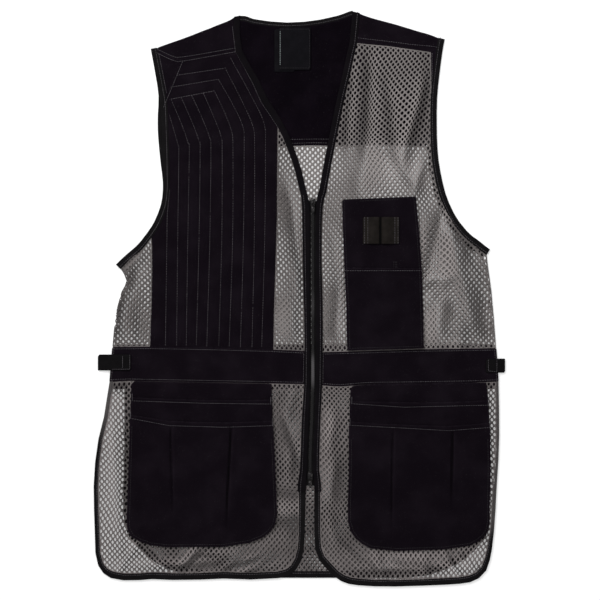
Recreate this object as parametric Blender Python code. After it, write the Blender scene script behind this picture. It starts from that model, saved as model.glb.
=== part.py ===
"""Shooting vest, zipped up and laid flat on its back.

X runs across the vest (the wearer's right side is at -X), Y runs from hem to shoulders, Z is up.
The floor is Z = 0 and the origin is under the middle of the vest. The seam lines below are the
cutting pattern in millimetres. Each panel is cut from those lines, laid on the panels that it
rests on, and given the thickness of its cloth.
"""
import math

import bmesh
import bpy
import numpy as np
from mathutils import Vector
from mathutils.geometry import delaunay_2d_cdt

MM = 0.001
CLOTH = 1.0            # wall of net, twill and tape
GAP = 0.3              # air between two pieces, at a seam or one on the other
BINDING = 7.0          # visible width of the armhole binding
NECK_BAND = 7.4        # visible width of the band along the V
HEM_BINDING = 8.4      # visible width of the front hem binding
FRONT_EDGE_RIGHT = 8.3     # its width at the foot of the zip's right band
FRONT_EDGE_LEFT = 7.4      # the same on the left
BACK_BINDING = 8.0     # visible width of the back hem binding
NECK_BINDING = 5.5     # visible width of the binding across the back of the neck
LEFT_BAND_EXTRA = 1.2  # the left band of the V lies a little flatter, so more of it shows
FOLD_INSET = 2.4       # how far the back stays inside the front's fold at shoulder and side
DRAPE = 30.0           # how far ahead of a step the cloth above it starts to rise
SOFTEN = 10.0          # how softly that rise begins
NET = 22.0             # spacing of the points inside a panel that is laid on others
FLOOR_NET = 55.0       # the same for a panel that lies flat on the floor
ZIP_HALF_CHAIN = 2.1
ZIP_CHAIN_HEIGHT = 2.4
ZIP_TAPE_REACH = 9.0   # from the middle of the chain to the tape's outer edge
QUILT_PUFF = 1.3       # how far the padding stands up between two stitch lines
PLEAT_RISE = 1.0
LOOP_RISE = 1.8
POCKET_INSET = 1.2     # how far a pocket's inner layers stay inside its front
TAB_WALL = 1.4         # webbing is thicker than the cloth
SLIDER = {"width": 7.0, "length": 11.0, "height": 3.4, "arch": 2.5, "wire": 0.7}
PULL = {"pin": 0.5, "pin_height": 0.9, "arm": 1.1, "arm_gap": 1.25, "length": 14.0, "slot": 4.2,
        "thick": 1.0, "eye": 1.5}
SLIDER_PLACES = {"upper": (17.5, 128.5), "lower": (13.95, -238.5)}
CHAIN_TOP = 122.5
CHAIN_FOOT = -232.0

BLACK_TWILL = (0.018, 0.013, 0.019)
BLACK_TAPE = (0.015, 0.014, 0.014)
GREY_NET = (0.27, 0.25, 0.24)
DARK_NET = (0.04, 0.037, 0.04)
OLIVE_ELASTIC = (0.03, 0.028, 0.02)
DARK_METAL = (0.10, 0.095, 0.09)

# Seam lines, each a row of (x, y) points in millimetres, from top to bottom.
# The wearer's right side comes first: it lies at the left when seen from above.
SHOULDER_FOLD_RIGHT = [(-199, 334), (-170, 344.5), (-120, 363.5), (-88, 375.5)]
SHOULDER_FOLD_LEFT = [(80, 382.5), (114, 371.5), (148, 361), (193.5, 346.5)]
YOKE_SEAM_RIGHT = [(-191.5, 331), (-170, 321.5), (-158, 319.5), (-120, 324)]
YOKE_SEAM_LEFT = [(118, 338), (150, 333.5), (175.8, 329.4)]
GUSSET_LEFT = [(175.8, 329.4), (176.5, 271)]
ARMHOLE_RIGHT = [(-199, 334), (-192.5, 299.5), (-186.5, 266.5), (-185.2, 250), (-184.5, 230),
                 (-183.5, 199), (-183, 166.5), (-183, 145.5), (-185.5, 124), (-193, 104.5),
                 (-204.5, 88), (-225, 66.5), (-245.5, 45.5)]
ARMHOLE_LEFT = [(193.5, 346.5), (190.5, 330), (186.5, 299.5), (183.5, 268.5), (183, 233.5),
                (184, 199), (187, 170.5), (193.5, 141), (205.5, 115.5), (222.5, 91), (239, 75.5),
                (254, 65.5)]
BACK_ARMHOLE_RIGHT = [(-198.5, 332), (-193, 302), (-188.5, 272), (-189.5, 246), (-189.5, 225),
                      (-188, 204), (-185.5, 179), (-182.8, 156), (-183.5, 129), (-190.5, 108.5),
                      (-201.5, 91), (-221.5, 69), (-243, 47.5)]
BACK_ARMHOLE_LEFT = [(190, 345), (186.5, 330), (182, 299.5), (178.5, 268.5), (178.5, 233.5),
                     (179, 204), (182.5, 170.5), (189, 139), (201, 113), (218.5, 87.5),
                     (235.5, 72), (250, 62)]
SIDE_RIGHT = [(-240, 40), (-235.5, 33), (-231.5, 22), (-239, 8.5), (-245.5, -15.5), (-249, -42.5),
              (-251, -65.5)]
SIDE_LEFT = [(250, 57), (252, 43.5), (256.5, 11.5), (260, -26.5), (263, -67)]
NECK_RIGHT = [(-79.5, 378.8), (-80.5, 364), (-79.7, 349), (-77, 331.5), (-67, 313), (-55.5, 293.5),
              (-43.5, 268.5), (-33, 251.5), (-23.2, 236), (-15, 220), (-8, 202.5), (-2.5, 187.5),
              (2.5, 171.5), (6.5, 154), (10.5, 137.5)]
NECK_LEFT = [(70.5, 383.5), (66.9, 343.6), (63, 327), (58, 303.5), (51, 274), (43.5, 237.5),
             (37, 205), (33, 185), (29, 162.5), (26, 146), (23.5, 137)]
BACK_NECK = [(-80, 379), (-64, 374.5), (-40, 371), (-17, 369.5), (6, 370.5), (28, 373.5),
             (50, 378.5), (70, 385)]
PAD_SIDE = [(-198.5, 70), (-198.5, 38), (-199.5, 0), (-200.5, -33), (-201, -65)]
PAD_FRONT = [(-30, 206), (-30.2, 180), (-30.5, 144), (-30.5, 111), (-31.5, 78), (-33, 30),
             (-34.5, -18), (-35.5, -69)]
BELT_TOP_RIGHT = [(-251, -65.5), (-201, -65), (-120, -66.5), (-35.5, -69), (7.5, -71)]
BELT_FOOT_RIGHT = [(-254.5, -111), (-229, -110), (-120, -112), (-36.5, -113.5), (7, -114.5)]
BELT_TOP_LEFT = [(28.8, -72.5), (65.5, -71.5), (166.5, -68.5), (263, -67)]
BELT_FOOT_LEFT = [(28.8, -115), (134.5, -114), (228, -112.5), (266, -111)]
ZIP_OUTER_RIGHT = [(3.2, 136), (4.5, 123), (4.6, 105), (5.5, 45), (7, -22), (7.5, -71), (7, -114.5),
                   (4, -163), (2.5, -206), (1.5, -230), (-1, -248), (-1.2, -258)]
ZIP_INNER_RIGHT = [(10.5, 137.5), (13.4, 123), (13.4, 105), (13.4, 45), (13.4, -22), (13.4, -71),
                   (13.4, -114.5), (12, -163), (10, -206), (9.6, -230), (8.6, -248), (8.2, -258)]
ZIP_INNER_LEFT = [(23.5, 137), (21.6, 123), (21.6, 105), (21.6, 45), (21.6, -22), (21.6, -72.5),
                  (21.6, -115), (20.2, -163), (18.2, -206), (18, -230), (19.2, -248), (19.6, -258)]
ZIP_OUTER_LEFT = [(31.6, 135), (29.3, 123), (28.5, 105), (28, 45), (28, -22), (28.8, -72.5),
                  (28.8, -115), (26.5, -163), (25, -206), (24.8, -230), (27, -248), (27.4, -258)]
ZIP_MIDDLE = [(17.5, 130), (17.5, 45), (17.5, -22), (17.5, -72), (17.5, -115), (16.1, -163),
              (14.1, -206), (13.9, -250)]
HEM_RIGHT = [(-254.5, -111), (-258, -132.5), (-262, -158), (-269.5, -188), (-274, -219),
             (-276, -251.5), (-275.5, -284), (-274.5, -314), (-273.7, -341), (-270, -357.5),
             (-263, -368), (-253, -374.3), (-236, -377.3), (-214, -377), (-198, -375.7), (-170, -376.8),
             (-134, -376.4), (-102, -375), (-66, -376.3), (-28, -374.4), (-14, -370.5), (-5, -363),
             (1.6, -351), (5.2, -336), (6.4, -314), (7.1, -286), (7.6, -258)]
HEM_LEFT = [(266, -111), (266.8, -147), (267, -184), (266, -216), (263.8, -250), (262, -284),
            (259.5, -312), (257, -337), (254.5, -350), (249.8, -364), (240, -374.5), (228, -380),
            (214, -382), (196, -383.2), (165, -384.5), (128.5, -385.6), (100, -385.4), (78, -384),
            (66, -382.2), (56, -378.6), (46, -372), (36, -361.5), (26, -350), (20.8, -335),
            (19.6, -314), (19.6, -286), (19.6, -258)]
POUCH_EDGE = [(-227, -121.5), (-227, -203), (-226.5, -283.5), (-224, -300), (-216, -319),
              (-203, -336), (-188, -348), (-171, -356), (-145, -363), (-113, -366.3), (15, -366.3),
              (141, -366.3), (168, -363.5), (192, -355.5), (210, -347), (228, -333), (240, -318),
              (244, -301), (244, -203), (244, -121.5)]
BACK_BELT_TOP = -62.5
BACK_BELT_FOOT = -121.5

# Quilting of the shoulder pad, one row for each stitched line and one (x, y) for each column.
# The first three lines turn at a corner under the shoulder; the others start at the third.
#             left end       corner         slope          bend           chest        waist       hem
QUILT = [
    ((-92, 321), (-91, 319), (-66, 273), (-48, 235), (-46, 199), (-47, 78), (-51, -64)),
    ((-164, 299), (-100, 308.5), (-78, 265.5), (-62.5, 229.5), (-60.5, 199), (-61, 78), (-64, -64)),
    ((-172, 283), (-109, 293.5), (-91, 262), (-76, 229.5), (-74.5, 199), (-75.5, 78), (-79.5, -64)),
    ((-175, 266.5), (-114.5, 278), (-102, 252), (-91.5, 224.5), (-89.5, 199), (-90, 78), (-94.5, -63)),
    ((-128, 272), (-127, 270), (-116, 245), (-105.5, 217.5), (-104, 197), (-104.5, 78), (-108.5, -63)),
    ((-143.5, 269), (-142.5, 267), (-131, 242), (-121, 216), (-119, 197), (-120.5, 78), (-124.5, -63)),
    ((-157.5, 266), (-156.5, 264), (-145, 238), (-135, 211), (-133.5, 196), (-135, 78), (-138.5, -62)),
    ((-171, 263), (-170, 261), (-158.5, 234), (-149.5, 208), (-148, 194), (-150, 78), (-152, -62)),
    ((-176, 250), (-175.3, 248), (-170, 230), (-163, 205.5), (-162, 192), (-163.5, 78), (-165, -62)),
    ((-174, 150), (-174.5, 144), (-175.5, 132), (-176.5, 118), (-177.3, 102), (-178, 78), (-180, -62)),
]
FULL_LINES = 3         # the lines up to this one run round the corner

# Pockets: sides from top to bottom, and the top edge of each layer, as (x, y).
POCKET_SIDE_RIGHT = [(-226, -111.3), (-226.5, -132), (-227.5, -155), (-228, -189.5), (-229, -230),
                     (-230, -270), (-230, -291), (-228, -306), (-222.5, -317), (-213, -325),
                     (-199.5, -330.5), (-176, -333)]
POCKET_FRONT_RIGHT = [(-37.5, -114.8), (-37.3, -135), (-36.6, -163), (-35.5, -189.5), (-33.5, -230),
                      (-31.5, -270), (-30.5, -289), (-33.5, -303), (-40.5, -313), (-50.5, -320.5),
                      (-67, -327), (-102, -332.5)]
POCKET_FRONT_LEFT = [(69, -115.9), (68, -137.5), (67.5, -164), (66.5, -189.5), (66, -230),
                     (65.5, -270), (66, -299), (69.5, -312), (75, -321), (83.5, -328.5),
                     (95, -334.5), (129, -338)]
POCKET_SIDE_LEFT = [(250, -113.1), (253, -136), (254.5, -166), (255, -189.5), (255.4, -230),
                    (254.5, -270), (253, -299), (250, -311), (245.5, -319), (238.5, -325.5),
                    (228, -331), (193, -336)]
MIDDLE_HEM_RIGHT = [(-180, -134), (-130, -135.5), (-85, -136)]
MIDDLE_HEM_LEFT = [(110, -138), (160, -139), (210, -138)]
FRONT_HEM_RIGHT = [(-175, -163.5), (-140, -165), (-103, -165.5), (-70, -164.7)]
FRONT_HEM_LEFT = [(100, -167), (149, -169), (198, -170.5), (228, -168.5)]
# Pleats stitched into the pocket fronts: x at the top, y at the top, x at the foot, y at the foot
PLEATS_RIGHT = [(-173, -174, -171, -268), (-92, -174, -98, -284)]
PLEATS_LEFT = [(124, -178, 122, -290), (204, -178, 203, -257)]
CHEST_FRONT = [(56.5, 132.5), (57.5, 93), (60, 41.5), (64, -14), (65.3, -70)]
CHEST_SIDE = [(155.5, 136.5), (159.5, 92), (163.3, 40.5), (165, -14), (166, -67)]

# Soft folds in the loose net: middle x, middle y, direction in degrees, length, width, height
FOLDS_RIGHT_SIDE = [(-222, 10, 78, 90, 13, 3.0), (-213, -35, 100, 50, 9, 2.0)]
FOLDS_CENTRE = [(-14, 90, 97, 110, 10, 2.4), (-14, -10, 84, 80, 9, 2.0)]
FOLDS_LEFT = [(225, 35, 118, 110, 13, 4.5), (205, -25, 70, 80, 10, 3.0), (45, 60, 96, 130, 8, 2.4),
              (180, 95, 72, 110, 9, 3.0), (120, 200, 60, 120, 14, 2.4), (44, -30, 85, 60, 8, 2.0)]
FOLDS_RIGHT_LOWER = [(-247, -215, 97, 150, 8, 2.6), (-15, -200, 92, 130, 9, 3.0),
                     (-20, -310, 60, 70, 9, 2.4), (-150, -353, 4, 160, 9, 2.6)]
FOLDS_LEFT_LOWER = [(46, -200, 86, 130, 9, 3.0), (44, -310, 105, 80, 9, 2.6),
                    (150, -361, 2, 150, 9, 2.6), (262, -150, 92, 60, 6, 1.4)]

# Each solid's top surface by name, as a height on a square net of points, to lay others on.
GRID_STEP = 2.0
GRID_X = np.arange(-290, 291, GRID_STEP)
GRID_Y = np.arange(-400, 401, GRID_STEP)
laid = {}


def smooth(points, cuts=2):
    """Pass a soft curve through a row of points and add cuts - 1 points in each gap."""
    p = [np.array(q, float) for q in points]
    p = [2 * p[0] - p[1]] + p + [2 * p[-1] - p[-2]]
    curve = []
    for a, b, c, d in zip(p, p[1:], p[2:], p[3:]):
        for i in range(cuts):
            t = i / cuts
            curve.append(0.5 * (2 * b + (c - a) * t + (2 * a - 5 * b + 4 * c - d) * t ** 2
                                + (3 * b - a - 3 * c + d) * t ** 3))
    return [tuple(q) for q in curve] + [tuple(p[-2])]


def shifted(points, distance):
    """Move an open line sideways: to its left where distance is positive, one value or many."""
    p = np.array(points, float)
    run = np.diff(p, axis=0)
    run /= np.linalg.norm(run, axis=1)[:, None]
    left = np.column_stack([-run[:, 1], run[:, 0]])
    corner = np.vstack([left[:1], left[:-1] + left[1:], left[-1:]])
    corner[1:-1] /= (1 + (left[:-1] * left[1:]).sum(1))[:, None]
    return [tuple(q) for q in p + corner * np.reshape(distance, (-1, 1))]


def pulled_in(outline, distance):
    """Shrink a closed outline by a distance, corners mitred."""
    p = np.array(outline, float)
    run = np.roll(p, -1, 0) - p
    run /= np.linalg.norm(run, axis=1)[:, None]
    left = np.column_stack([-run[:, 1], run[:, 0]])
    before = np.roll(left, 1, 0)
    return p + distance * (left + before) / (1 + (left * before).sum(1))[:, None].clip(0.35)


def area(outline):
    x, y = np.array(outline, float).T
    return 0.5 * float(np.sum(x * np.roll(y, -1) - y * np.roll(x, -1)))


def divided(points, longest):
    """Add even points to a line so that no stretch is longer than given."""
    out = [points[0]]
    for a, b in zip(points, points[1:]):
        a, b = np.array(a, float), np.array(b, float)
        n = max(1, math.ceil(np.linalg.norm(b - a) / longest))
        out += [tuple(a + (b - a) * i / n) for i in range(1, n + 1)]
    return out


def distance_to(points, line):
    """Shortest distance from each point to an open line."""
    p = np.atleast_2d(np.array(points, float))
    best = np.full(len(p), 1e9)
    for a, b in zip(line, line[1:]):
        a, b = np.array(a, float), np.array(b, float)
        t = ((p - a) @ (b - a) / max((b - a) @ (b - a), 1e-9)).clip(0, 1)
        best = np.minimum(best, np.linalg.norm(p - a - t[:, None] * (b - a), axis=1))
    return best


def inside(points, outline):
    """Which points lie inside a closed outline, by counting crossings."""
    x, y = np.atleast_2d(points).T
    odd = np.zeros(len(x), bool)
    for (x0, y0), (x1, y1) in zip(outline, np.roll(np.array(outline), -1, 0)):
        crosses = (y0 > y) != (y1 > y)
        odd ^= crosses & (x < (x1 - x0) * (y - y0) / ((y1 - y0) or 1e-9) + x0)
    return odd


def box_maximum(field, cells):
    """Raise each point of a height field to the highest one within a square around it."""
    for axis in (0, 1):
        best = field.copy()
        for k in range(1, cells + 1):
            best = np.maximum(best, np.roll(field, k, axis))
            best = np.maximum(best, np.roll(field, -k, axis))
        field = best
    return field


def box_mean(field, cells):
    for axis in (0, 1):
        field = sum(np.roll(field, k, axis) for k in range(-cells, cells + 1)) / (2 * cells + 1)
    return field


def sampled(field, points):
    """Read a height field between its points."""
    p = np.atleast_2d(points)
    u = (p[:, 0] - GRID_X[0]) / GRID_STEP
    v = (p[:, 1] - GRID_Y[0]) / GRID_STEP
    i, j = u.astype(int), v.astype(int)
    u, v = u - i, v - j
    return (field[j, i] * (1 - u) * (1 - v) + field[j, i + 1] * u * (1 - v)
            + field[j + 1, i] * (1 - u) * v + field[j + 1, i + 1] * u * v)


def resting_height(on, points):
    """Underside of cloth that is laid on the named pieces: their tops, softened, and a gap."""
    if not on:
        return np.zeros(len(points))
    top = np.maximum.reduce([laid[name] for name in on])
    top = box_maximum(top, round((DRAPE + SOFTEN) / GRID_STEP))
    top = box_mean(top, round(SOFTEN / GRID_STEP))
    return sampled(top, points) + GAP


def remember(name, points, faces, top):
    """Keep the top surface of a laid piece on the square net of points."""
    field = np.zeros((len(GRID_Y), len(GRID_X)))
    for face in faces:
        (x0, y0), (x1, y1), (x2, y2) = points[list(face)]
        z0, z1, z2 = top[list(face)]
        i = slice(int((min(x0, x1, x2) - GRID_X[0]) / GRID_STEP),
                  int((max(x0, x1, x2) - GRID_X[0]) / GRID_STEP) + 2)
        j = slice(int((min(y0, y1, y2) - GRID_Y[0]) / GRID_STEP),
                  int((max(y0, y1, y2) - GRID_Y[0]) / GRID_STEP) + 2)
        gx, gy = np.meshgrid(GRID_X[i], GRID_Y[j])
        d = (y1 - y2) * (x0 - x2) + (x2 - x1) * (y0 - y2)
        a = ((y1 - y2) * (gx - x2) + (x2 - x1) * (gy - y2)) / d
        b = ((y2 - y0) * (gx - x2) + (x0 - x2) * (gy - y2)) / d
        c = 1 - a - b
        reach = -0.02
        hit = (a > reach) & (b > reach) & (c > reach)
        z = a * z0 + b * z1 + c * z2
        field[j, i] = np.where(hit, np.maximum(field[j, i], z), field[j, i])
        for x, y, z in ((x0, y0, z0), (x1, y1, z1), (x2, y2, z2)):
            k, m = int(round((x - GRID_X[0]) / GRID_STEP)), int(round((y - GRID_Y[0]) / GRID_STEP))
            field[m, k] = max(field[m, k], z)
    laid[name] = field


def fold_height(folds, points, edge_distance):
    """Soft rounded ridges across a net, fading out towards its edges."""
    p = np.atleast_2d(points)
    height = np.zeros(len(p))
    for x, y, turn, length, width, rise in folds:
        turn = math.radians(turn)
        along = (p[:, 0] - x) * math.cos(turn) + (p[:, 1] - y) * math.sin(turn)
        across = (p[:, 1] - y) * math.cos(turn) - (p[:, 0] - x) * math.sin(turn)
        height = np.maximum(height, rise * np.exp(-(along / length * 2) ** 2 - (across / width) ** 2))
    fade = (edge_distance / 22).clip(0, 1)
    return height * fade * fade * (3 - 2 * fade)


def material(name, colour, roughness, metallic=0.0):
    found = bpy.data.materials.new(name)
    found.use_nodes = True
    shader = found.node_tree.nodes["Principled BSDF"]
    shader.inputs["Base Color"].default_value = (*colour, 1)
    shader.inputs["Roughness"].default_value = roughness
    shader.inputs["Metallic"].default_value = metallic
    found.diffuse_color = (*colour, 1)
    return found


def add_object(name, mesh, colour, roughness=0.9, metallic=0.0):
    body = bpy.data.objects.new(name, mesh)
    collection.objects.link(body)
    mesh.materials.append(material(name, colour, roughness, metallic))
    return body


def panel(name, outline, colour, on=(), wall=CLOTH, spacing=NET, lip=None, lip_width=1.3,
          folds=(), creases=()):
    """Cut a piece of cloth from its outline, lay it down and give it its thickness.

    on       names of the pieces that it lies on; none means the floor
    lip      an edge of the outline that turns down to the floor, as at a fold or side seam
    creases  lines to keep in the surface, each with the height that it raises the outside
    """
    if area(outline) < 0:
        outline = outline[::-1]
    rim = [tuple(q) for q in pulled_in(outline, GAP / 2)]
    rim = divided(rim + rim[:1], spacing * 1.2)[:-1]
    points, edges, rises = list(rim), [], [0.0] * len(rim)
    lines = [(divided(line, spacing), rise) for line, rise in creases]
    if lip:
        start, end = np.array(shifted(lip, 1.0)[:2])
        toward = 1 if inside([(start + end) / 2], outline)[0] else -1
        for depth in (0.5, lip_width, lip_width + 0.7):
            rail = shifted(lip, toward * (depth + GAP / 2))
            lines.append((divided(lengthened(rail, 1.5), spacing), 0.0))
    for line, rise in lines:
        start = len(points)
        points += line
        rises += [rise] * len(line)
        edges += [(start + i, start + i + 1) for i in range(len(line) - 1)]
    taken = np.array(points)
    low, high = taken.min(0), taken.max(0)
    row = 0
    for y in np.arange(low[1] + spacing * 0.6, high[1], spacing * 0.87):
        for x in np.arange(low[0] + spacing * (0.6 if row % 2 else 0.1), high[0], spacing):
            clear = np.linalg.norm(taken - (x, y), axis=1).min() > spacing * 0.6
            borders = [rim + rim[:1]] + [line for line, _ in lines]
            if clear and inside([(x, y)], rim)[0]:
                if all(distance_to([(x, y)], line)[0] > spacing * 0.4 for line in borders):
                    points.append((x, y))
                    rises.append(0.0)
        row += 1
    cut = delaunay_2d_cdt([Vector(p) for p in points], edges, [list(range(len(rim)))], 1, 1e-5)
    flat = np.array([tuple(v) for v in cut[0]])
    faces = [tuple(f) for f in cut[2]]
    rise = np.array([rises[source[0]] if source else 0.0 for source in cut[3]])

    edge_distance = distance_to(flat, rim + rim[:1])
    under = resting_height(on, flat) + fold_height(folds, flat, edge_distance)
    over = under + wall + rise
    if lip:
        depth = distance_to(flat, lip) - GAP / 2
        turned = depth < lip_width + 0.1
        under = np.where(turned, 0.0, under)
        round_off = (1 - depth / (lip_width + 0.7)).clip(0, 1)
        over = over - 0.55 * over * (1 - np.sqrt(1 - round_off ** 2 * 0.999))
    remember(name, flat, faces, over)

    bm = bmesh.new()
    verts = [bm.verts.new((x * MM, y * MM, z * MM)) for (x, y), z in zip(flat, under)]
    number = {v: i for i, v in enumerate(verts)}
    for face in faces:
        bm.faces.new([verts[i] for i in face])
    bm.verts.index_update()
    lower = list(bm.faces)
    top_of = {tuple(v.co): over[number[v]] for v in verts}
    grown = bmesh.ops.extrude_face_region(bm, geom=lower)
    for element in grown["geom"]:
        if isinstance(element, bmesh.types.BMVert):
            element.co.z = top_of[tuple(element.co)] * MM
    bmesh.ops.recalc_face_normals(bm, faces=bm.faces)
    mesh = bpy.data.meshes.new(name)
    bm.to_mesh(mesh)
    bm.free()
    return add_object(name, mesh, colour)


def lengthened(line, amount):
    """Run a line on a little at both ends."""
    p = [np.array(q, float) for q in line]
    p[0] = p[0] - (p[1] - p[0]) / np.linalg.norm(p[1] - p[0]) * amount
    p[-1] = p[-1] - (p[-2] - p[-1]) / np.linalg.norm(p[-2] - p[-1]) * amount
    return [tuple(q) for q in p]


def strip(name, edge, width, colour, **settings):
    """A band along an edge line, to its left where the width is positive."""
    return panel(name, edge + shifted(edge, width)[::-1], colour, **settings)


def clear_file():
    for old in list(bpy.data.objects):
        bpy.data.objects.remove(old, do_unlink=True)


clear_file()
collection = bpy.data.collections.new("shooting_vest")
bpy.context.scene.collection.children.link(collection)

# Lines worked out from the pattern: the seam inside each binding, and smoothed curves.
armhole_right = smooth(ARMHOLE_RIGHT)
armhole_left = smooth(ARMHOLE_LEFT)
armhole_seam_right = shifted(armhole_right, BINDING)
armhole_seam_left = shifted(armhole_left, -BINDING)
back_armhole_right = smooth(BACK_ARMHOLE_RIGHT)
back_armhole_left = smooth(BACK_ARMHOLE_LEFT)
back_seam_right = shifted(back_armhole_right, BINDING)
back_seam_left = shifted(back_armhole_left, -BINDING)
neck_seam_right = shifted(NECK_RIGHT, -NECK_BAND)
neck_seam_left = shifted(NECK_LEFT, NECK_BAND + LEFT_BAND_EXTRA)
back_neck_seam = shifted(BACK_NECK, -NECK_BINDING)
last = len(HEM_RIGHT) - 1
hem_width_right = np.interp(np.arange(last + 1), [0, 2, 8, 11, last - 6, last - 2, last],
                            [4.4, 4.8, 6.0, HEM_BINDING, HEM_BINDING, FRONT_EDGE_LEFT, FRONT_EDGE_RIGHT])
last = len(HEM_LEFT) - 1
hem_width_left = np.interp(np.arange(last + 1), [0, 4, 8, 11, last - 5, last - 2],
                           [3.0, 3.6, 6.4, HEM_BINDING, HEM_BINDING, FRONT_EDGE_LEFT])
hem_seam_right = shifted(HEM_RIGHT, hem_width_right)
hem_seam_left = shifted(HEM_LEFT, -hem_width_left)

# Junctions, as places in the lines above
PAD_JOINT = 20         # where the pad's side leaves the armhole seam
GUSSET_JOINT = 4       # the lower tip of the right shoulder's gusset on the armhole seam
GUSSET_JOINT_LEFT = 6  # the first place on the left armhole seam under its gusset
YOKE_JOINT = 10        # where the back yoke ends on the back armhole
NECK_YOKE_JOINT = 3    # where the front yoke ends on the V
NECK_PAD_JOINT = 8     # where the pad ends on the V
BELT_TOP_JOINT = 5
BELT_FOOT_JOINT = 6


def build_back():
    """Yoke, net, belt, game pouch and their bindings, which lie on the floor."""
    yoke = (back_seam_right[1:YOKE_JOINT + 1] + back_seam_left[1:YOKE_JOINT + 1][::-1]
            + shifted(SHOULDER_FOLD_LEFT[1:3], -FOLD_INSET)[::-1] + back_neck_seam[::-1]
            + shifted(SHOULDER_FOLD_RIGHT[1:3], -FOLD_INSET)[::-1])
    panel("back_yoke", yoke, BLACK_TWILL, spacing=FLOOR_NET)
    net = (back_seam_right[YOKE_JOINT:] + shifted(SIDE_RIGHT[1:], FOLD_INSET)
           + [(-247.5, BACK_BELT_TOP), (260, BACK_BELT_TOP)]
           + shifted(SIDE_LEFT[1:], -FOLD_INSET)[::-1] + back_seam_left[YOKE_JOINT:][::-1])
    panel("back_net_upper", net, GREY_NET, spacing=FLOOR_NET)
    belt = [(-247.5, BACK_BELT_TOP), (-251.5, BACK_BELT_FOOT), (263, BACK_BELT_FOOT),
            (260, BACK_BELT_TOP)]
    panel("back_belt", belt, BLACK_TWILL, spacing=FLOOR_NET)
    strip("back_neck_binding", BACK_NECK, -NECK_BINDING, BLACK_TAPE, spacing=FLOOR_NET)
    strip("back_armhole_binding_right", back_armhole_right, BINDING, BLACK_TAPE, spacing=FLOOR_NET)
    strip("back_armhole_binding_left", back_armhole_left, -BINDING, BLACK_TAPE, spacing=FLOOR_NET)
    panel("game_pouch", POUCH_EDGE, DARK_NET, spacing=FLOOR_NET)
    panel("back_net_lower", POUCH_EDGE, GREY_NET, on=["game_pouch", "back_belt"], spacing=FLOOR_NET)
    strip("back_hem_binding", POUCH_EDGE, -BACK_BINDING, BLACK_TAPE, wall=2 * CLOTH + GAP,
          spacing=FLOOR_NET)
    care = [(-34, 361), (-34, 303.5), (-6, 303.5), (-6, 361)]
    panel("care_label", care, BLACK_TAPE, on=["back_yoke"])
    label = [(-27.5, 363), (-27.5, 306), (14.5, 306), (14.5, 363)]
    panel("neck_label", label, BLACK_TAPE, on=["back_yoke", "care_label"])


BACK = ["back_yoke", "back_net_upper", "back_belt", "back_net_lower", "game_pouch",
        "back_armhole_binding_right", "back_armhole_binding_left", "back_hem_binding",
        "back_neck_binding"]


def crest_lines():
    """Lines of the padding's crests, halfway between neighbouring stitch lines."""
    crests = []
    for i, (one, two) in enumerate(zip(QUILT, QUILT[1:])):
        middle = (np.array(one) + np.array(two)) / 2
        if i == 0 or i >= FULL_LINES:
            middle = middle[1:]
            middle[0] += 0.35 * (middle[1] - middle[0])
        crests.append([tuple(q) for q in middle])
    return crests[:-1]


def build_right_front():
    """The wearer's right front, with the quilted pad that takes the gun."""
    seam = [armhole_seam_right[0]] + YOKE_SEAM_RIGHT[1:] + [neck_seam_right[NECK_YOKE_JOINT]]
    yoke = seam + neck_seam_right[:NECK_YOKE_JOINT][::-1] + SHOULDER_FOLD_RIGHT[1:3][::-1]
    fold = [armhole_seam_right[0]] + SHOULDER_FOLD_RIGHT[1:3] + [neck_seam_right[0]]
    panel("shoulder_yoke_right", yoke, BLACK_TWILL, on=BACK, lip=fold)
    tip = armhole_seam_right[GUSSET_JOINT]
    gusset = armhole_seam_right[:GUSSET_JOINT + 1] + [YOKE_SEAM_RIGHT[2], YOKE_SEAM_RIGHT[1]]
    panel("shoulder_gusset_right", gusset, BLACK_TWILL, on=BACK)
    pad = ([YOKE_SEAM_RIGHT[2], tip] + armhole_seam_right[GUSSET_JOINT + 1:PAD_JOINT + 1] + PAD_SIDE
           + [BELT_TOP_RIGHT[2]] + PAD_FRONT[::-1]
           + neck_seam_right[NECK_YOKE_JOINT:NECK_PAD_JOINT + 1][::-1] + [YOKE_SEAM_RIGHT[3]])
    creases = [(divided(line, 14), 0.0) for line in QUILT]
    creases += [(divided(line, 14), QUILT_PUFF) for line in crest_lines()]
    panel("gun_pad", pad, BLACK_TWILL, on=BACK, creases=creases, spacing=16)
    side = (armhole_seam_right[PAD_JOINT:] + SIDE_RIGHT[1:] + PAD_SIDE[::-1])
    panel("front_net_right_side", side, GREY_NET, on=BACK, lip=SIDE_RIGHT[1:], folds=FOLDS_RIGHT_SIDE)
    centre = (neck_seam_right[NECK_PAD_JOINT:-1] + ZIP_OUTER_RIGHT[:BELT_TOP_JOINT + 1]
              + PAD_FRONT[::-1])
    panel("front_net_right_centre", centre, GREY_NET, on=BACK, folds=FOLDS_CENTRE)
    belt = BELT_TOP_RIGHT + BELT_FOOT_RIGHT[::-1]
    panel("belt_right", belt, BLACK_TWILL, on=BACK, lip=[BELT_TOP_RIGHT[0], BELT_FOOT_RIGHT[0]])
    lower = (hem_seam_right[:-1] + ZIP_OUTER_RIGHT[BELT_FOOT_JOINT:-1][::-1]
             + BELT_FOOT_RIGHT[1:-1][::-1])
    panel("front_net_right_lower", lower, GREY_NET, on=BACK, folds=FOLDS_RIGHT_LOWER)
    strip("armhole_binding_right", armhole_right, BINDING, BLACK_TAPE, on=BACK)
    strip("neck_band_right", NECK_RIGHT, -NECK_BAND, BLACK_TWILL, on=BACK)
    panel("hem_binding_right", HEM_RIGHT + hem_seam_right[::-1], BLACK_TAPE, on=BACK)


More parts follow.
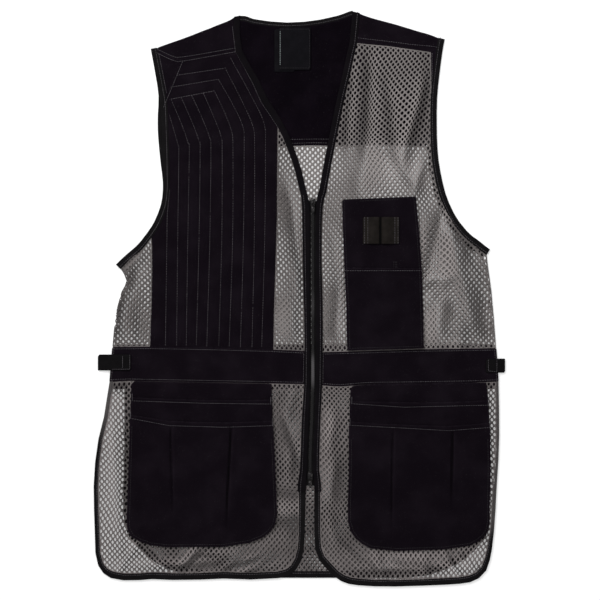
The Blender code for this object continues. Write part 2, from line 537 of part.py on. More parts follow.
def build_left_front():
    """The wearer's left front, with the chest pocket."""
    seam = [neck_seam_left[1]] + YOKE_SEAM_LEFT + [armhole_seam_left[2]]
    yoke = seam + [armhole_seam_left[0]] + SHOULDER_FOLD_LEFT[1:3][::-1] + [neck_seam_left[0]]
    fold = [neck_seam_left[0]] + SHOULDER_FOLD_LEFT[1:3] + [armhole_seam_left[0]]
    panel("shoulder_yoke_left", yoke, BLACK_TWILL, on=BACK, lip=fold)
    top, tip = GUSSET_LEFT
    gusset = armhole_seam_left[2:GUSSET_JOINT_LEFT] + [tip, top]
    panel("shoulder_gusset_left", gusset, BLACK_TWILL, on=BACK)
    net = (neck_seam_left[1:-1] + ZIP_OUTER_LEFT[:BELT_TOP_JOINT + 1] + BELT_TOP_LEFT[1:]
           + SIDE_LEFT[1:-1][::-1] + armhole_seam_left[GUSSET_JOINT_LEFT:][::-1] + [tip, top]
           + YOKE_SEAM_LEFT[:-1][::-1])
    panel("front_net_left_upper", net, GREY_NET, on=BACK, lip=SIDE_LEFT[1:], folds=FOLDS_LEFT)
    belt = BELT_TOP_LEFT + BELT_FOOT_LEFT[::-1]
    panel("belt_left", belt, BLACK_TWILL, on=BACK, lip=[BELT_TOP_LEFT[-1], BELT_FOOT_LEFT[-1]])
    lower = (hem_seam_left[:-1] + ZIP_OUTER_LEFT[BELT_FOOT_JOINT:-1][::-1] + BELT_FOOT_LEFT[1:-1])
    panel("front_net_left_lower", lower, GREY_NET, on=BACK, folds=FOLDS_LEFT_LOWER)
    strip("armhole_binding_left", armhole_left, -BINDING, BLACK_TAPE, on=BACK)
    strip("neck_band_left", NECK_LEFT, NECK_BAND + LEFT_BAND_EXTRA, BLACK_TWILL, on=BACK)
    panel("hem_binding_left", HEM_LEFT + hem_seam_left[::-1], BLACK_TAPE, on=BACK)
    chest = CHEST_FRONT + CHEST_SIDE[::-1]
    panel("chest_panel", chest, BLACK_TWILL, on=["front_net_left_upper"])
    pocket = CHEST_FRONT[2:] + CHEST_SIDE[2:][::-1]
    panel("chest_pocket", pocket, BLACK_TWILL, on=["chest_panel"])
    loops = [(84.5, 109), (84.5, 73), (133, 73), (133, 109)]
    ridges = [([(x, 106), (x, 76)], LOOP_RISE) for x in (95, 101, 113, 120)]
    valleys = [([(x, 107), (x, 75)], 0.0) for x in (90.5, 107, 126)]
    panel("elastic_loops", loops, OLIVE_ELASTIC, on=["chest_panel"], creases=ridges + valleys)


def build_pocket(side, left, right, middle_hem, front_hem, pleats):
    """A lower pocket: its back, a middle layer and a pleated front, each with its own hem."""
    net = "front_net_" + side + "_lower"
    inner_left, inner_right = shifted(left, POCKET_INSET), shifted(right, -POCKET_INSET)
    back = inner_left[:4] + inner_right[:4][::-1]
    panel("pocket_back_" + side, back, BLACK_TWILL, on=[net])
    middle = inner_left[1:6] + inner_right[1:6][::-1] + middle_hem[::-1]
    panel("pocket_middle_" + side, middle, BLACK_TWILL, on=[net, "pocket_back_" + side])
    front = left[2:] + right[2:][::-1] + front_hem[::-1]
    creases = []
    for x0, y0, x1, y1 in pleats:
        for offset, rise in ((-3.0, 0.0), (0.0, PLEAT_RISE), (6.0, 0.0)):
            creases.append(([(x0 + offset, y0), (x1 + offset, y1)], rise))
    panel("pocket_front_" + side, front, BLACK_TWILL,
          on=[net, "pocket_back_" + side, "pocket_middle_" + side], creases=creases)


def build_tabs():
    """Webbing at each end of the belt, folded round the side."""
    right = [(-270.5, -75), (-270.5, -96.5), (-226, -96.5), (-226, -75)]
    panel("webbing_tab_right", right, BLACK_TAPE, on=["belt_right"], wall=TAB_WALL, lip=right[:2],
          lip_width=14)
    left = [(275, -99.5), (275, -80.5), (249, -80.5), (249, -99.5)]
    panel("webbing_tab_left", left, BLACK_TAPE, on=["belt_left"], wall=TAB_WALL, lip=left[:2],
          lip_width=7)


def build_zip():
    """Tapes, covering bands, chain, two sliders and their pull tabs."""
    middle = divided(ZIP_MIDDLE, NET)
    inner = ZIP_HALF_CHAIN + GAP / 2
    base = ["back_net_upper", "back_belt", "back_net_lower", "back_hem_binding"]
    panel("zip_tape_right", shifted(middle, -ZIP_TAPE_REACH) + shifted(middle, -inner)[::-1],
          BLACK_TAPE, on=base)
    panel("zip_tape_left", shifted(middle, ZIP_TAPE_REACH) + shifted(middle, inner)[::-1],
          BLACK_TAPE, on=base)
    panel("zip_band_right", ZIP_OUTER_RIGHT + ZIP_INNER_RIGHT[::-1], BLACK_TWILL,
          on=BACK + ["zip_tape_right"])
    panel("zip_band_left", ZIP_OUTER_LEFT + ZIP_INNER_LEFT[::-1], BLACK_TWILL,
          on=BACK + ["zip_tape_left"])
    run = [(SLIDER_PLACES["upper"][0], CHAIN_TOP)]
    run += [p for p in ZIP_MIDDLE if CHAIN_FOOT < p[1] < CHAIN_TOP]
    run = divided(run + [(SLIDER_PLACES["lower"][0], CHAIN_FOOT)], NET)
    panel("zip_chain", shifted(run, inner) + shifted(run, -inner)[::-1], DARK_METAL, on=base,
          wall=ZIP_CHAIN_HEIGHT)
    for name, (x, y) in SLIDER_PLACES.items():
        height = resting_height(base, [(x, y)])[0] + CLOTH + GAP
        build_slider(name, x, y, height)


def bevelled_block(name, size, centre, bevel):
    """A box with its edges bevelled, in millimetres."""
    bm = bmesh.new()
    bmesh.ops.create_cube(bm, size=1)
    bmesh.ops.scale(bm, vec=Vector(size) * MM, verts=bm.verts)
    if bevel:
        bmesh.ops.bevel(bm, geom=bm.edges[:], offset=bevel * MM, segments=2, profile=0.5,
                        affect="EDGES")
    bmesh.ops.translate(bm, vec=Vector(centre) * MM, verts=bm.verts)
    mesh = bpy.data.meshes.new(name)
    bm.to_mesh(mesh)
    bm.free()
    return mesh


def applied_union(body, other, operation="UNION"):
    """Join another solid to a body with an exact Boolean, or cut it away."""
    joint = body.modifiers.new("joint", "BOOLEAN")
    joint.operation = operation
    joint.object = other
    bpy.context.view_layer.update()
    graph = bpy.context.evaluated_depsgraph_get()
    done = bpy.data.meshes.new_from_object(body.evaluated_get(graph))
    body.modifiers.clear()
    body.data = done
    bpy.data.objects.remove(other, do_unlink=True)


def build_slider(name, x, y, height):
    """A slider with an arch, and the pull tab whose pin turns under that arch."""
    size = (SLIDER["width"], SLIDER["length"], SLIDER["height"])
    top = height + SLIDER["height"]
    block = bevelled_block(name + "_slider", size, (x, y, height + SLIDER["height"] / 2), 0.8)
    slider = add_object(name + "_slider", block, DARK_METAL, 0.45, 0.9)
    bpy.ops.mesh.primitive_torus_add(major_radius=SLIDER["arch"] * MM,
                                     minor_radius=SLIDER["wire"] * MM,
                                     major_segments=20, minor_segments=8,
                                     location=(x * MM, y * MM, top * MM),
                                     rotation=(0, math.pi / 2, 0))
    arch = bpy.context.object
    applied_union(slider, arch)

    pin_z = top + PULL["pin_height"]
    outer = PULL["arm_gap"] + PULL["arm"]
    tab = bevelled_block(name + "_pull", (2 * outer, PULL["length"], PULL["thick"]),
                         (0, -PULL["length"] / 2 + PULL["pin"], 0), 0.3)
    pull = add_object(name + "_pull", tab, DARK_METAL, 0.45, 0.9)
    slot_middle = (0, -PULL["slot"] / 2 - PULL["pin"] * 0.6, 0)
    slot = bpy.data.objects.new("slot", bevelled_block(
        "slot", (2 * PULL["arm_gap"], PULL["slot"], 4), slot_middle, 0))
    collection.objects.link(slot)
    applied_union(pull, slot, "DIFFERENCE")
    bpy.ops.mesh.primitive_cylinder_add(vertices=16, radius=PULL["eye"] * MM, depth=4 * MM,
                                        location=(0, (PULL["eye"] + 1.2 - PULL["length"]) * MM, 0))
    applied_union(pull, bpy.context.object, "DIFFERENCE")
    bpy.ops.mesh.primitive_cylinder_add(vertices=12, radius=PULL["pin"] * MM,
                                        depth=2 * outer * MM * 0.98,
                                        rotation=(0, math.pi / 2, 0))
    applied_union(pull, bpy.context.object)
    pull.location = (x * MM, y * MM, pin_z * MM)


build_back()
build_right_front()
build_left_front()
build_pocket("right", POCKET_SIDE_RIGHT, POCKET_FRONT_RIGHT, MIDDLE_HEM_RIGHT, FRONT_HEM_RIGHT,
             PLEATS_RIGHT)
build_pocket("left", POCKET_FRONT_LEFT, POCKET_SIDE_LEFT, MIDDLE_HEM_LEFT, FRONT_HEM_LEFT,
             PLEATS_LEFT)
build_tabs()
build_zip()
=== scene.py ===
"""Shooting vest of grey net and black twill, zipped up and laid flat on its back.

Sizes are in millimetres from the middle of the vest: X towards the wearer's left, Y up to the
shoulders, Z up from the surface. They become metres where a mesh is made.
"""
import math

import bpy
import numpy as np
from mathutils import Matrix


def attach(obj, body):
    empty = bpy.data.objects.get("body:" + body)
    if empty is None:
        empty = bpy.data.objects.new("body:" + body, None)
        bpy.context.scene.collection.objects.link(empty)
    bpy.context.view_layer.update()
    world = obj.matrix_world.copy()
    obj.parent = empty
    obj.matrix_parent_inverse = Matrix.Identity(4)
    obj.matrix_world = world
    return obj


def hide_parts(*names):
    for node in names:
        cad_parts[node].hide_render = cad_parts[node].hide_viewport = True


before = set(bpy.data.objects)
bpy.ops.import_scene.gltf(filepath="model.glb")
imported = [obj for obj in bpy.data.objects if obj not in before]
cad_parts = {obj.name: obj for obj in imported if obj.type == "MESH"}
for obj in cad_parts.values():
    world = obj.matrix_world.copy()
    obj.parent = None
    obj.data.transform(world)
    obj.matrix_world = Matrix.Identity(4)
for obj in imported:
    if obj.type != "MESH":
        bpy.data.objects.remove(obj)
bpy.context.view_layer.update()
MM = 0.001


def placed(name, data):
    """Put a mesh, a lamp or the camera into the scene."""
    thing = bpy.data.objects.new(name, data)
    bpy.context.scene.collection.objects.link(thing)
    return thing


# The photograph looks straight down through a long lens at a vest laid on white.
# The camera stands high over the middle and sees 804 mm across its frame. These are in metres.
CAMERA_PLACE = (0.0003, -0.0021, 4.0)
SEEN_WIDTH = 0.804
lens = bpy.data.cameras.new("camera")
lens.sensor_width = 36.0
lens.lens = lens.sensor_width * CAMERA_PLACE[2] / SEEN_WIDTH
camera = placed("camera", lens)
camera.location = CAMERA_PLACE
bpy.context.scene.camera = camera
bpy.context.scene.view_settings.view_transform = "Standard"


class Wire:
    """A socket of a material's nodes. Sums written with it add Math nodes, add() any other node."""

    def __init__(self, tree, socket=None):
        self.tree, self.socket = tree, socket

    def add(self, kind, settings=(), sockets=(), out=0):
        """Make a node: its settings first, then the values or wires of its sockets."""
        node = self.tree.nodes.new(kind)
        for name, value in dict(settings).items():
            setattr(node, name, value)
        for name, value in dict(sockets).items():
            if isinstance(value, Wire):
                self.tree.links.new(value.socket, node.inputs[name])
            else:
                node.inputs[name].default_value = value
        return Wire(self.tree, node.outputs[out])

    def math(self, operation, *values):
        return self.add("ShaderNodeMath", {"operation": operation}, enumerate(values))

    def __add__(self, other):
        return self.math("ADD", self, other)

    def __sub__(self, other):
        return self.math("SUBTRACT", self, other)

    def __rsub__(self, other):
        return self.math("SUBTRACT", other, self)

    def __mul__(self, other):
        return self.math("MULTIPLY", self, other)

    __radd__, __rmul__ = __add__, __mul__

    def wave(self, length):
        """Wave of this field, from 0 to 1."""
        return self.math("SINE", self * (2 * math.pi / length)) * 0.5 + 0.5

    def step(self, low, high):
        """Soft step: 0 below low, 1 above high."""
        return self.add("ShaderNodeMapRange", {"interpolation_type": "SMOOTHSTEP"},
                        {"Value": self, "From Min": low, "From Max": high})

    def blend(self, colour, other):
        """Mix two colours, with this wire as the share of the second."""
        one, two = (c if isinstance(c, Wire) else (*c, 1.0) for c in (colour, other))
        return self.add("ShaderNodeMix", {"data_type": "RGBA"}, {0: self, 6: one, 7: two}, out=2)

    def noise(self, size, detail=2.0):
        """Cloudy pattern with features about size millimetres across, read at this wire."""
        return self.add("ShaderNodeTexNoise", {},
                        {"Vector": self, "Scale": 1.0 / (size * MM), "Detail": detail})

    def field(self, name):
        """A value kept with each point of the mesh."""
        return self.add("ShaderNodeAttribute", {"attribute_name": name}, out="Fac")


def finish(name, roughness, specular=0.3, metallic=0.0, sheen=0.0, glow=0.0):
    """Start a material: returns it, its shader and the wires of the place on the piece."""
    made = bpy.data.materials.new(name)
    made.use_nodes = True
    tree = made.node_tree
    shader = tree.nodes["Principled BSDF"]
    for socket, value in (("Roughness", roughness), ("Specular IOR Level", specular),
                          ("Metallic", metallic), ("Sheen Weight", sheen),
                          ("Sheen Roughness", 0.45), ("Emission Color", (1.0, 1.0, 1.0, 1.0)),
                          ("Emission Strength", glow)):
        shader.inputs[socket].default_value = value
    place = Wire(tree).add("ShaderNodeTexCoord", out="Object")
    x, y = (place.add("ShaderNodeSeparateXYZ", {}, {0: place}, out=k) * 1000.0 for k in (0, 1))
    return made, shader, place, x, y


def fed(shader, socket, wire):
    """Let a wire give the value of one of the shader's sockets."""
    shader.id_data.links.new(wire.socket, shader.inputs[socket])


def embossed(shader, height, depth):
    """Raise the surface by height (0 to 1) times depth in millimetres."""
    fed(shader, "Normal", height.add("ShaderNodeBump", {}, {
        "Height": height, "Strength": 1.0, "Distance": depth * MM}))


def staged(name, ring, glow, dark, light, size=200, low=0.3, high=0.7):
    """A flat sheet of the stage in cloudy greys. It glows a little: on the floor this keeps it evenly
    white, and on the sheets under the nets it is painted light.
    """
    made, shader, place, _, _ = finish(name, 0.9, specular=0.0, glow=glow)
    fed(shader, "Base Color", place.noise(size).step(low, high).blend((dark,) * 3, (light,) * 3))
    sheet = bpy.data.meshes.new(name)
    sheet.from_pydata(ring, [], [tuple(range(len(ring)))])
    sheet.materials.append(made)
    placed(name, sheet)


# A plain white surface under soft light from two wide boxes overhead and from all round, in metres.
FLOOR = 3.0
FLOOR_DROP = -0.0002
staged("floor", [(x * FLOOR, y * FLOOR, FLOOR_DROP) for x, y in ((-1, -1), (1, -1), (1, 1), (-1, 1))],
       glow=0.42, dark=0.62, light=0.63, size=400, low=0.0, high=1.0)
world = bpy.data.worlds.new("studio")
world.use_nodes = True
background = world.node_tree.nodes["Background"]
background.inputs["Color"].default_value = (1.0, 1.0, 1.0, 1.0)
background.inputs["Strength"].default_value = 0.52
bpy.context.scene.world = world
for name, place, size, watts in (("softbox", (-0.7, 1.0, 1.7), 1.2, 34.0),
                                 ("fill", (0.9, -0.6, 2.2), 1.6, 7.0)):
    light = bpy.data.lights.new(name, "AREA")
    light.size, light.energy = size, watts
    lamp = placed(name, light)
    lamp.location = x, y, z = place
    lamp.rotation_euler = (math.atan2(math.hypot(x, y), z), 0.0, math.atan2(-y, -x) - math.pi / 2)


# The cloth follows the CAD pieces: each panel takes its outline and its lie from its own node.
# These are read as arrays here, and every panel, net and tape below is cut and laid with them.
PAIRS_AT_ONCE = 1500000


def unit(ways):
    """The same directions, each one long."""
    return ways / np.linalg.norm(ways, axis=-1, keepdims=True)


def left_of(ways):
    """Each direction on the flat, turned a quarter turn to its left."""
    return np.stack([-ways[..., 1], ways[..., 0]], axis=-1)


def crossed(one, other):
    """Cross product of directions on the flat."""
    return one[:, 0] * other[:, 1] - one[:, 1] * other[:, 0]


def travelled(line):
    """How far along an open line each of its places is."""
    return np.concatenate([[0.0], np.cumsum(np.linalg.norm(np.diff(line, axis=0), axis=1))])


def nearest(points, line):
    """Distance from each point to a line, and the nearest place on it."""
    line = np.asarray(line, float)
    run = np.diff(line, axis=0)
    length = np.linalg.norm(run, axis=1)
    found = []
    for part in np.array_split(points, len(points) * len(run) // PAIRS_AT_ONCE + 1):
        away = part[:, None] - line[None, :-1]
        t = ((away * run).sum(2) / np.maximum(length ** 2, 1e-9)).clip(0, 1)
        gap = np.linalg.norm(away - t[..., None] * run, axis=2)
        best = gap.argmin(1)
        rows = np.arange(len(part))
        found.append(np.column_stack([gap[rows, best], line[best] + t[rows, best, None] * run[best]]))
    found = np.concatenate(found)
    return found[:, 0], found[:, 1:]


def within(points, outline):
    """Which points lie inside an outline, by counting how many of its edges each one looks across."""
    x, y = points.T
    odd = np.zeros(len(x), bool)
    for (x0, y0), (x1, y1) in zip(outline, np.roll(outline, -1, axis=0)):
        odd ^= ((y0 > y) != (y1 > y)) & (x < (x1 - x0) * (y - y0) / ((y1 - y0) or 1e-9) + x0)
    return odd


def shifted(line, distance):
    """Move an open line to its left by a distance, with its corners mitred."""
    line = np.asarray(line, float)
    left = left_of(unit(np.diff(line, axis=0)))
    corner = np.vstack([left[:1], left[:-1] + left[1:], left[-1:]])
    corner[1:-1] /= (1 + (left[:-1] * left[1:]).sum(1))[:, None].clip(0.3)
    return line + corner * distance


def paced(line, pace):
    """Places along a line, a pace apart, and the direction of the line at each."""
    line = np.asarray(line, float)
    along = travelled(line)
    at = np.linspace(0, along[-1], max(2, round(along[-1] / pace) + 1))
    points = np.column_stack([np.interp(at, along, line[:, k]) for k in (0, 1)])
    return points, np.gradient(points, axis=0)


def softened(field, cells):
    """Average a grid over a square of cells each way, three times, which is near a round blur."""
    for _ in range(3):
        for axis in (0, 1):
            field = sum(np.roll(field, k, axis) for k in range(-cells, cells + 1)) / (2 * cells + 1)
    return field


def border(faces):
    """The edges that only one triangle has, each running as it does in its triangle."""
    edges = np.concatenate([faces[:, [0, 1]], faces[:, [1, 2]], faces[:, [2, 0]]])
    _, first, count = np.unique(np.sort(edges, axis=1), axis=0, return_index=True,
                                return_counts=True)
    return edges[first[count == 1]]


def grid(rows, columns, around=False, back=False):
    """The four corners of each cell in a grid of numbered points.

    Around joins the last column to the first, and back joins the last row to the first.
    """
    number = np.arange(rows * columns).reshape(rows, columns)
    number = np.hstack([number, number[:, :1]]) if around else number
    number = np.vstack([number, number[:1]]) if back else number
    return np.stack([number[:-1, :-1], number[:-1, 1:], number[1:, 1:], number[1:, :-1]],
                    axis=-1).reshape(-1, 4)


def halved(cells):
    """Two triangles for each cell with four corners."""
    return np.concatenate([cells[:, :3], cells[:, [0, 2, 3]]])


class Laid:
    """A CAD piece of cloth as it lies: its outline, and the height of its upper face.

    The height at a place is read off the triangle over it, on a square grid, and softened over a
    few millimetres, because cloth bends gently where the CAD's flat triangles meet.
    """

    GRID = 1.5
    MARGIN = 12.0

    def __init__(self, node, soften=4.0):
        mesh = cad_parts[node].data
        mesh.calc_loop_triangles()
        place = np.empty(len(mesh.vertices) * 3, np.float32)
        corner = np.empty(len(mesh.loop_triangles) * 3, np.int32)
        mesh.vertices.foreach_get("co", place)
        mesh.loop_triangles.foreach_get("vertices", corner)
        place, same = np.unique(np.round(place.reshape(-1, 3) / MM, 3), axis=0, return_inverse=True)
        place = place.astype(float)
        corner = same.reshape(-1)[corner].reshape(-1, 3)
        a, b, c = place[corner].transpose(1, 0, 2)
        facing = np.cross(b - a, c - a)
        upper = corner[facing[:, 2] > 0.05 * np.linalg.norm(facing, axis=1)]

        following = dict(border(upper).tolist())
        loop = [next(iter(following))]
        while following[loop[-1]] != loop[0]:
            loop.append(following[loop[-1]])
        self.outline = place[loop][:, :2]

        self.low = place[:, :2].min(0) - self.MARGIN
        size = np.ceil((place[:, :2].max(0) + self.MARGIN - self.low) / self.GRID).astype(int) + 1
        height, seen = np.zeros(size[::-1]), np.zeros(size[::-1])
        for corners in place[upper]:
            (x0, y0, z0), (x1, y1, z1), (x2, y2, z2) = corners
            first = ((corners[:, :2].min(0) - self.low) / self.GRID).astype(int)
            last = ((corners[:, :2].max(0) - self.low) / self.GRID).astype(int) + 2
            here = slice(first[1], last[1]), slice(first[0], last[0])
            x = self.low[0] + np.arange(first[0], last[0]) * self.GRID
            y = (self.low[1] + np.arange(first[1], last[1]) * self.GRID)[:, None]
            whole = (y1 - y2) * (x0 - x2) + (x2 - x1) * (y0 - y2)
            one = ((y1 - y2) * (x - x2) + (x2 - x1) * (y - y2)) / whole
            two = ((y2 - y0) * (x - x2) + (x0 - x2) * (y - y2)) / whole
            hit = (one > -1e-6) & (two > -1e-6) & (one + two < 1 + 1e-6)
            height[here] = np.where(hit, one * z0 + two * z1 + (1 - one - two) * z2, height[here])
            seen[here] = np.where(hit, 1.0, seen[here])
        cells = max(1, round(soften / self.GRID / 1.6))
        self.lie = softened(height * seen, cells) / np.maximum(softened(seen, cells), 1e-6)

    def at(self, points):
        """Height of the upper face at each place, in between the grid's own places."""
        u, v = ((points - self.low) / self.GRID).T
        i = u.astype(int).clip(0, self.lie.shape[1] - 2)
        j = v.astype(int).clip(0, self.lie.shape[0] - 2)
        u, v = (u - i).clip(0, 1), (v - j).clip(0, 1)
        h = self.lie
        return (h[j, i] * (1 - u) * (1 - v) + h[j, i + 1] * u * (1 - v)
                + h[j + 1, i] * (1 - u) * v + h[j + 1, i + 1] * u * v)

    def rim(self, grow=0.0):
        """The outline, closed, moved outwards by grow."""
        ring = np.vstack([self.outline[-1:], self.outline, self.outline[:2]])
        moved = shifted(ring, -grow)[1:-1]
        moved[-1] = moved[0]
        return moved

    def side(self, start, end):
        """The stretch of outline from near one place to near another, with the cloth on its left."""
        first = int(np.linalg.norm(self.outline - start, axis=1).argmin())
        last = int(np.linalg.norm(self.outline - end, axis=1).argmin())
        count = (last - first) % len(self.outline) + 1
        return self.outline[(first + np.arange(count)) % len(self.outline)]

    def cut(self, *under, sewn=()):
        """Work out the box round its outline and its area; declared only looks up what is sewn to it."""
        x, y = self.outline.T
        area = abs(0.5 * float(np.sum(x * np.roll(y, -1) - y * np.roll(x, -1)))) * MM * MM
        width, length = np.ptp(x) * MM, np.ptp(y) * MM
        self.declared("laid", width, length, under, sewn, area=min(area, width * length))

    def declared(self, held, width, length, under, sewn, **more):
        [getattr(u, "piece", u) for u in under]
        [bpy.data.objects[name] for name in sewn]


# Cloth never lies quite as it was cut: here and there an edge has crept a millimetre or more.
# Each place is its middle x and y, how far it reaches across and along, and how far it has moved.
CREPT = ((-145, 360, 45, 22, 0, -1.9), (-170, 352, 22, 18, 0, -0.8), (-105, 374, 16, 22, 0, -1.6),
         (-92, 378, 12, 22, 0, -2.4), (-72, 378, 8, 14, 0, 1.4), (92, 374, 24, 22, 0, -1.6),
         (174, 352, 14, 22, 0, 1.2), (68, 382, 8, 14, 0, 0.9), (-217, 70, 16, 22, 1.6, -1.6),
         (190, 150, 14, 34, 1.0, 0.3), (210, 106, 12, 16, -0.5, -0.5), (240, 76, 12, 10, 0.8, 1.0),
         (-186, 112, 16, 16, -0.8, 0), (110, 206, 46, 9, 0, 2.4), (18, 206, 20, 8, 0, 0.9),
         (-34, -200, 12, 90, 1.0, 0), (65, -155, 12, 60, -1.6, 0), (64, -295, 12, 50, -1.6, 0),
         (61, -40, 10, 60, -2.4, 0), (-199, -10, 10, 60, 1.2, 0), (31, -20, 6, 50, 1.8, 0),
         (55, -115, 25, 10, 0, -2.8), (-238, -268, 7, 40, -2.4, 0), (-228, -314, 14, 24, -3.2, -2.6),
         (249, -308, 9, 20, 2.0, 0))


def crept(points):
    """Move the places that have crept, each softly, and every layer there together."""
    moved = np.array(points, float)
    for x, y, across, along, dx, dy in CREPT:
        share = np.exp(-((points[:, 0] - x) / across) ** 2 - ((points[:, 1] - y) / along) ** 2)
        moved[:, :2] += share[:, None] * (dx, dy)
    return moved


def sewn_in(name, points, faces, made, slot, node=None, body="vest", fields=()):
    """Make a piece from arrays in millimetres, on its body and in the place of its CAD node.

    Any fields are kept as attributes of its points.
    """
    faces = np.asarray(faces, np.int32)
    mesh = bpy.data.meshes.new(name)
    mesh.vertices.add(len(points))
    mesh.vertices.foreach_set("co", (crept(points) * MM).astype(np.float32).ravel())
    mesh.loops.add(faces.size)
    mesh.loops.foreach_set("vertex_index", faces.ravel())
    mesh.polygons.add(len(faces))
    starts = np.arange(0, faces.size, faces.shape[1], dtype=np.int32)
    mesh.polygons.foreach_set("loop_start", starts)
    mesh.polygons.foreach_set("use_smooth", np.full(len(faces), True))
    for label, values in dict(fields).items():
        layer = mesh.attributes.new(label, "FLOAT", "POINT")
        layer.data.foreach_set("value", np.asarray(values, np.float32))
    mesh.update(calc_edges=True)
    mesh.validate()
    mesh.materials.append(made)
    piece = placed(name, mesh)
    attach(piece, body)
    if node:
        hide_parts(node)
    return piece


# Where the floor shows through the net, it lies in the vest's shade. Sheets of grey lie under the
# nets as painted shade for that, on the stage with the floor, and their glow is painted light.
# Each has its shade, its glow, its height and how far it reaches past its net.
for node, shade, glow, low, grow in (("back_net_upper", 0.45, 0.19, -0.10, -0.6),
                                     ("back_net_lower", 0.36, 0.06, -0.10, -1.0),
                                     ("front_net_right_lower", 0.50, 0.27, -0.15, 2.5),
                                     ("front_net_left_lower", 0.50, 0.27, -0.15, 2.5)):
    ring = Laid(node).rim(grow)[:-1] * MM
    staged(f"{node}_painted_shade_sheet", [(x, y, low * MM) for x, y in ring], glow, shade * 0.92, shade * 1.08)


# The body is a warp-knitted polyester net of warm grey yarn with oval holes, 6.8 mm apart across.
# Every net is cut here from one pattern: rows of six-sided cells, each knitted round its hole.
NET_ACROSS = 6.8
NET_ROW = 3.95
NET_SIDE = 0.511
NET_MARGIN = 30
SEAM_REACH = 3.4
SEAM_CALM = 9
HOLE_ACROSS = 3.15
HOLE_ALONG = 4.5
HOLE_CLOSED = 0.3
CROWN_DROP = 0.05
HOLE_DROP = 0.3
YARN_DEPTH = 0.9
EDGE_YARN = 1.5
TURNED_SHADE = 0.7
SWAY = 2.6
SLOWEST_WAVE = 260.0
FREE_BESIDE = 205
FREE_ABOVE = -58


def net_finish(name, light, dark):
    """Yarn with fine knitted ribs and cloudy grey shades, dark in hollows and pale where lit."""
    made, shader, place, x, y = finish(name, 0.85, specular=0.2, sheen=0.12)
    rib = ((x + y * 0.35).wave(0.62) + (y - x * 0.5).wave(0.83)) * 0.5
    shade = place.noise(60, 3.0).step(0.3, 0.7) * 0.5 + place.noise(2.2, 1.0).step(0.3, 0.7) * 0.5
    hollow = place.field("hollow")
    yarn = (shade * 0.7 + rib * 0.3).blend(dark, light)
    yarn = (hollow * 0.7).blend(yarn, [0.35 * c for c in dark])
    fed(shader, "Base Color", (hollow * -0.7).blend(yarn, [1.5 * c for c in light]))
    embossed(shader, rib * 0.7 + place.noise(0.35, 1.0) * 0.3, 0.12)
    return made


grey_net = net_finish("grey_net", (0.205, 0.186, 0.182), (0.084, 0.075, 0.073))
shaded_grey_net = net_finish("shaded_grey_net", (0.150, 0.136, 0.133), (0.058, 0.051, 0.050))
skirt_grey_net = net_finish("skirt_grey_net", (0.184, 0.163, 0.161), (0.084, 0.074, 0.073))
back_grey_net = net_finish("back_grey_net", (0.208, 0.190, 0.186), (0.118, 0.106, 0.103))
dark_net = net_finish("dark_net", (0.018, 0.016, 0.018), (0.008, 0.007, 0.008))


def wandering(points, seed, turn):
    """Turn places by some degrees, and shift them by slow waves as the rows of laid nets wander."""
    rule = np.random.default_rng(seed)
    angle = math.radians(turn)
    x, y = points.T
    moved = np.column_stack([x * math.cos(angle) - y * math.sin(angle),
                             x * math.sin(angle) + y * math.cos(angle)])
    for wave in (SLOWEST_WAVE, 150.0, 90.0):
        way = rule.uniform(0, 2 * math.pi, 2)
        phase = rule.uniform(0, 2 * math.pi, 2)
        for k in (0, 1):
            along = points @ (math.cos(way[k]), math.sin(way[k]))
            moved[:, k] += SWAY * wave / SLOWEST_WAVE * np.sin(2 * math.pi * along / wave + phase[k])
    return moved


def folded(points, folds):
    """Soft folds: the height each adds, and the places drawn in towards its crest.

    A fold is its middle, its direction in degrees, and its length, width and height. Across it the
    height falls as exp(-(u / width)^2), and cloth on both slopes moves in, as it has further to go.
    The third value is 1 in the hollow beside the crest, and below 0 along the side that is lit.
    """
    rise, moved, hollow = np.zeros(len(points)), points.copy(), np.zeros(len(points))
    for x, y, way, length, width, height in folds:
        along = np.array([math.cos(math.radians(way)), math.sin(math.radians(way))])
        aside = left_of(along)
        v, u = (points - (x, y)) @ along, (points - (x, y)) @ aside
        u = u + 0.22 * width * np.sin(v / length * 5)
        share = np.exp(-(2 * v / length) ** 4)
        strength = min(1.0, height / 3.0) * share
        rise += height * share * np.exp(-(u / width) ** 2)
        pull = 0.4 * width * strength * np.tanh(u / width) * np.exp(-(u / width / 2.2) ** 2)
        moved -= pull[:, None] * aside
        hollow += strength * np.exp(-((u + width) / (0.9 * width)) ** 2)
        hollow -= 0.7 * strength * np.exp(-((u - 0.6 * width) / width) ** 2)
    return rise, moved, hollow.clip(-1, 1)


def free(points):
    """Where an edge of the nets above the belt hangs free at the side, and isn't sewn to anything."""
    return (np.abs(points[:, 0]) > FREE_BESIDE) & (points[:, 1] > FREE_ABOVE)


# The triangles of one cell: 0 to 5 are its outer points, and 6 to 13 stand round its hole.
CELL = ((5, 0, 6), (5, 6, 13), (0, 1, 7), (0, 7, 6), (1, 8, 7), (1, 9, 8), (1, 2, 9),
        (2, 3, 10), (2, 10, 9), (3, 4, 11), (3, 11, 10), (4, 12, 11), (4, 13, 12), (4, 5, 13))


